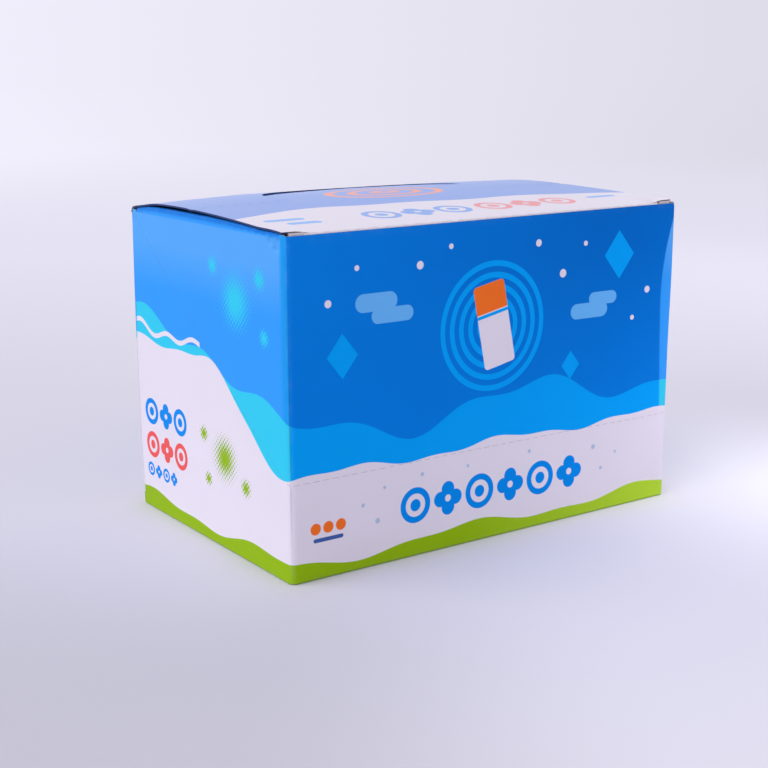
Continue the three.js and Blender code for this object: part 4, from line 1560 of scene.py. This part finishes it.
def shade_group(backdrop):
    """Backdrop colour, a little brighter towards the left."""
    group, given, end = new_group("Backdrop shade", [("Way", VECTOR, None)], [("Color", COLOUR)])
    level = group.nodes.new("ShaderNodeVectorMath")
    level.operation = "MULTIPLY"
    level.inputs[1].default_value = (1, 1, 0)
    group.links.new(given["Way"], level.inputs[0])
    unit = group.nodes.new("ShaderNodeVectorMath")
    unit.operation = "NORMALIZE"
    group.links.new(level.outputs[0], unit.inputs[0])
    x, y, _ = split(group, unit.outputs[0])
    side = (x * ACROSS[0] + y * ACROSS[1]).max(-0.35).min(0.3)
    return end(Color=scaled(group, backdrop, side * -0.33 + 1.0))


def seen_directly(tree):
    """1 for what the camera or a reflection sees, 0 for light on the object."""
    seen = tree.nodes.new("ShaderNodeLightPath")
    return Num(tree, seen.outputs["Is Camera Ray"]).max(Num(tree, seen.outputs["Is Glossy Ray"]))


def make_floor(looks, shade):
    material, tree, shader = new_material("floor_paper")
    place = tree.nodes.new("ShaderNodeNewGeometry").outputs["Position"]
    x, y, _ = split(tree, place)
    noise = texture(tree, "Noise", place, Scale=900.0, Detail=2.0)
    # painted shade in front on the left, painted light in front on the right and at the back
    across = x * ACROSS[0] + y * ACROSS[1]
    back = x * AWAY[0] + y * AWAY[1]
    near_share = smooth((back + 0.15) / 0.15)
    level = near_share * 0.15 + smooth(back / 0.7) * 0.14 + 0.775
    level = level + (1.0 - near_share) * smooth((across + 0.04) / 0.1) * 0.22
    tone = (Num(tree, noise.outputs[0]) * 0.02 + 0.99) * level
    put(tree, shader.inputs["Base Color"], scaled(tree, looks.floor_colour, tone))
    shader.inputs["Roughness"].default_value = 0.9
    shader.inputs["Specular IOR Level"].default_value = 0.1
    # further back the paper is seen in the backdrop's colour
    far = smooth((hypot(x, y) - 0.55) / 1.6)
    direct = seen_directly(tree)
    glow = tree.nodes.new("ShaderNodeEmission")
    put(tree, glow.inputs["Color"], use_group(tree, shade, Way=place).outputs[0])
    both = tree.nodes.new("ShaderNodeMixShader")
    put(tree, both.inputs[0], far * direct)
    tree.links.new(shader.outputs[0], both.inputs[1])
    tree.links.new(glow.outputs[0], both.inputs[2])
    tree.links.new(both.outputs[0], tree.nodes["Material Output"].inputs["Surface"])
    mesh = bpy.data.meshes.new("floor")
    half = FLOOR_HALF
    corners = [(-half, -half, 0), (half, -half, 0), (half, half, 0), (-half, half, 0)]
    mesh.from_pydata(corners, [], [(0, 1, 2, 3)])
    mesh.materials.append(material)
    floor = bpy.data.objects.new("floor", mesh)
    bpy.context.scene.collection.objects.link(floor)


def make_sky(looks, shade):
    scene = bpy.context.scene
    world = scene.world or bpy.data.worlds.new("sky")
    scene.world = world
    world.use_nodes = True
    tree = world.node_tree
    background = tree.nodes["Background"]
    way = tree.nodes.new("ShaderNodeTexCoord").outputs["Generated"]
    direct = seen_directly(tree)
    backdrop = use_group(tree, shade, Way=way).outputs[0]
    put(tree, background.inputs["Color"], paint(tree, direct, backdrop, (0.94, 0.94, 1.0)))
    put(tree, background.inputs["Strength"], direct * (1.0 - looks.sky) + looks.sky)


def add_light(name, data, power, colour, spot=(0, 0, 0)):
    data.energy = power
    data.color = colour
    light = bpy.data.objects.new(name, data)
    bpy.context.scene.collection.objects.link(light)
    light.location = spot
    return light


def lamp(name, power, size, place, aim, spread=180.0):
    """A square lamp at a place in metres, aimed at another."""
    data = bpy.data.lights.new(name, "AREA")
    data.shape = "SQUARE"
    data.size = size
    data.spread = math.radians(spread)
    light = add_light(name, data, power, (1.0, 0.985, 0.97), place)
    light.rotation_euler = (Vector(aim) - Vector(place)).to_track_quat("-Z", "Y").to_euler()


def make_lamps(looks):
    data = bpy.data.lights.new("key_lamp", "SUN")
    data.angle = math.radians(70.0)
    key = add_light("key_lamp", data, looks.key_power, (1.0, 0.99, 0.985))
    key.rotation_euler = Vector((-0.76, 0.10, 0.64)).to_track_quat("Z", "Y").to_euler()
    lamp("fill_lamp", looks.fill_power, 0.4, (0.55, 0.15, 0.35), (0.07, 0, 0.04))
    lamp("front_lamp", looks.front_power, 0.4, (0.08, -0.55, 0.08), (0.0, -0.05, 0.03))
    lamp("foot_lamp", looks.foot_power, 0.06, (0.15, -0.10, 0.15), (0.11, -0.055, 0), 75.0)


def make_camera():
    data = bpy.data.cameras.new("camera")
    data.sensor_width = CAMERA_SENSOR
    data.lens = CAMERA_LENS
    camera = bpy.data.objects.new("camera", data)
    scene = bpy.context.scene
    scene.collection.objects.link(camera)
    turn = Vector(CAMERA_WAY).to_track_quat("-Z", "Y").to_matrix().to_4x4()
    roll = Matrix.Rotation(math.radians(CAMERA_ROLL), 4, "Z")
    camera.matrix_world = Matrix.Translation(Vector(CAMERA_PLACE) * MM) @ turn @ roll
    scene.camera = camera
    scene.view_settings.view_transform = "Standard"


def make_stage(looks):
    shade = shade_group(looks.backdrop)
    make_floor(looks, shade)
    make_sky(looks, shade)
    make_lamps(looks)
    make_camera()


# ---------------------------------------------------------------------------
# Operators, panel and registration

MADE = {}


def groups_made():
    if "groups" not in MADE:
        MADE["groups"] = {
            "grain": grain_group(),
            "wear": wear_group(),
            "row": row_group(),
            "rings": rings_group(),
            "speckle": speckle_group(),
        }
    return MADE["groups"]


def board_made(looks):
    if "board" not in MADE:
        MADE["board"] = board_materials(looks, groups_made())
    return MADE["board"]


class CARTON_OT_walls(bpy.types.Operator):
    """Make the wrapped walls with their tear line, the bottom and the seam flap"""

    bl_idname = "carton.walls"
    bl_label = "Walls and bottom"

    def execute(self, context):
        looks = context.scene.carton_looks
        made = board_made(looks)
        make_walls(looks, made)
        make_bottom(made)
        make_seam_flap(made)
        return {"FINISHED"}


class CARTON_OT_lid(bpy.types.Operator):
    """Make the bowed lid with its arch, the tuck flap and the dust flaps"""

    bl_idname = "carton.lid"
    bl_label = "Lid and flaps"

    def execute(self, context):
        made = board_made(context.scene.carton_looks)
        make_lid(made)
        make_tuck(made)
        make_dust_flap(-1, made)
        make_dust_flap(1, made)
        return {"FINISHED"}


class CARTON_OT_sticks(bpy.types.Operator):
    """Make the glue sticks"""

    bl_idname = "carton.sticks"
    bl_label = "Glue sticks"

    def execute(self, context):
        looks = context.scene.stick_looks
        groups = groups_made()
        made = {
            "cap": plastic_material("cap_plastic", groups, tuple(looks.cap_colour), 0.32),
            "barrel": plastic_material("barrel_plastic", groups, tuple(looks.barrel_colour), 0.38),
            "label": label_material(groups, context.scene.carton_looks),
            "glue": plastic_material(
                "glue_paste", groups, tuple(looks.glue_colour), 0.5, 0.5, PASTE_GRAIN
            ),
        }
        make_sticks(looks, made)
        return {"FINISHED"}


class CARTON_OT_stage(bpy.types.Operator):
    """Make the floor, the lamps and the camera"""

    bl_idname = "carton.stage"
    bl_label = "Stage"

    def execute(self, context):
        make_stage(context.scene.stage_looks)
        return {"FINISHED"}


class CARTON_PT_panel(bpy.types.Panel):
    """Lists the pieces and the sizes and colours they are made with"""

    bl_idname = "CARTON_PT_panel"
    bl_label = "Carton of glue sticks"
    bl_space_type = "VIEW_3D"
    bl_region_type = "UI"
    bl_category = "Carton"

    def draw(self, context):
        scene = context.scene
        for looks, operators in (
            (scene.carton_looks, ("carton.walls", "carton.lid")),
            (scene.stick_looks, ("carton.sticks",)),
            (scene.stage_looks, ("carton.stage",)),
        ):
            box = self.layout.box()
            for name in looks.bl_rna.properties.keys():
                if name not in ("rna_type", "name"):
                    box.prop(looks, name)
            for operator in operators:
                box.operator(operator)


CLASSES = (
    CartonLooks,
    StickLooks,
    StageLooks,
    CARTON_OT_walls,
    CARTON_OT_lid,
    CARTON_OT_sticks,
    CARTON_OT_stage,
    CARTON_PT_panel,
)


def register():
    for cls in CLASSES:
        bpy.utils.register_class(cls)
    bpy.types.Scene.carton_looks = PointerProperty(type=CartonLooks)
    bpy.types.Scene.stick_looks = PointerProperty(type=StickLooks)
    bpy.types.Scene.stage_looks = PointerProperty(type=StageLooks)


def unregister():
    del bpy.types.Scene.stage_looks
    del bpy.types.Scene.stick_looks
    del bpy.types.Scene.carton_looks
    for cls in reversed(CLASSES):
        bpy.utils.unregister_class(cls)


def main():
    register()
    bpy.ops.carton.stage()
    bpy.ops.carton.walls()
    bpy.ops.carton.lid()
    bpy.ops.carton.sticks()


if __name__ == "__main__":
    main()
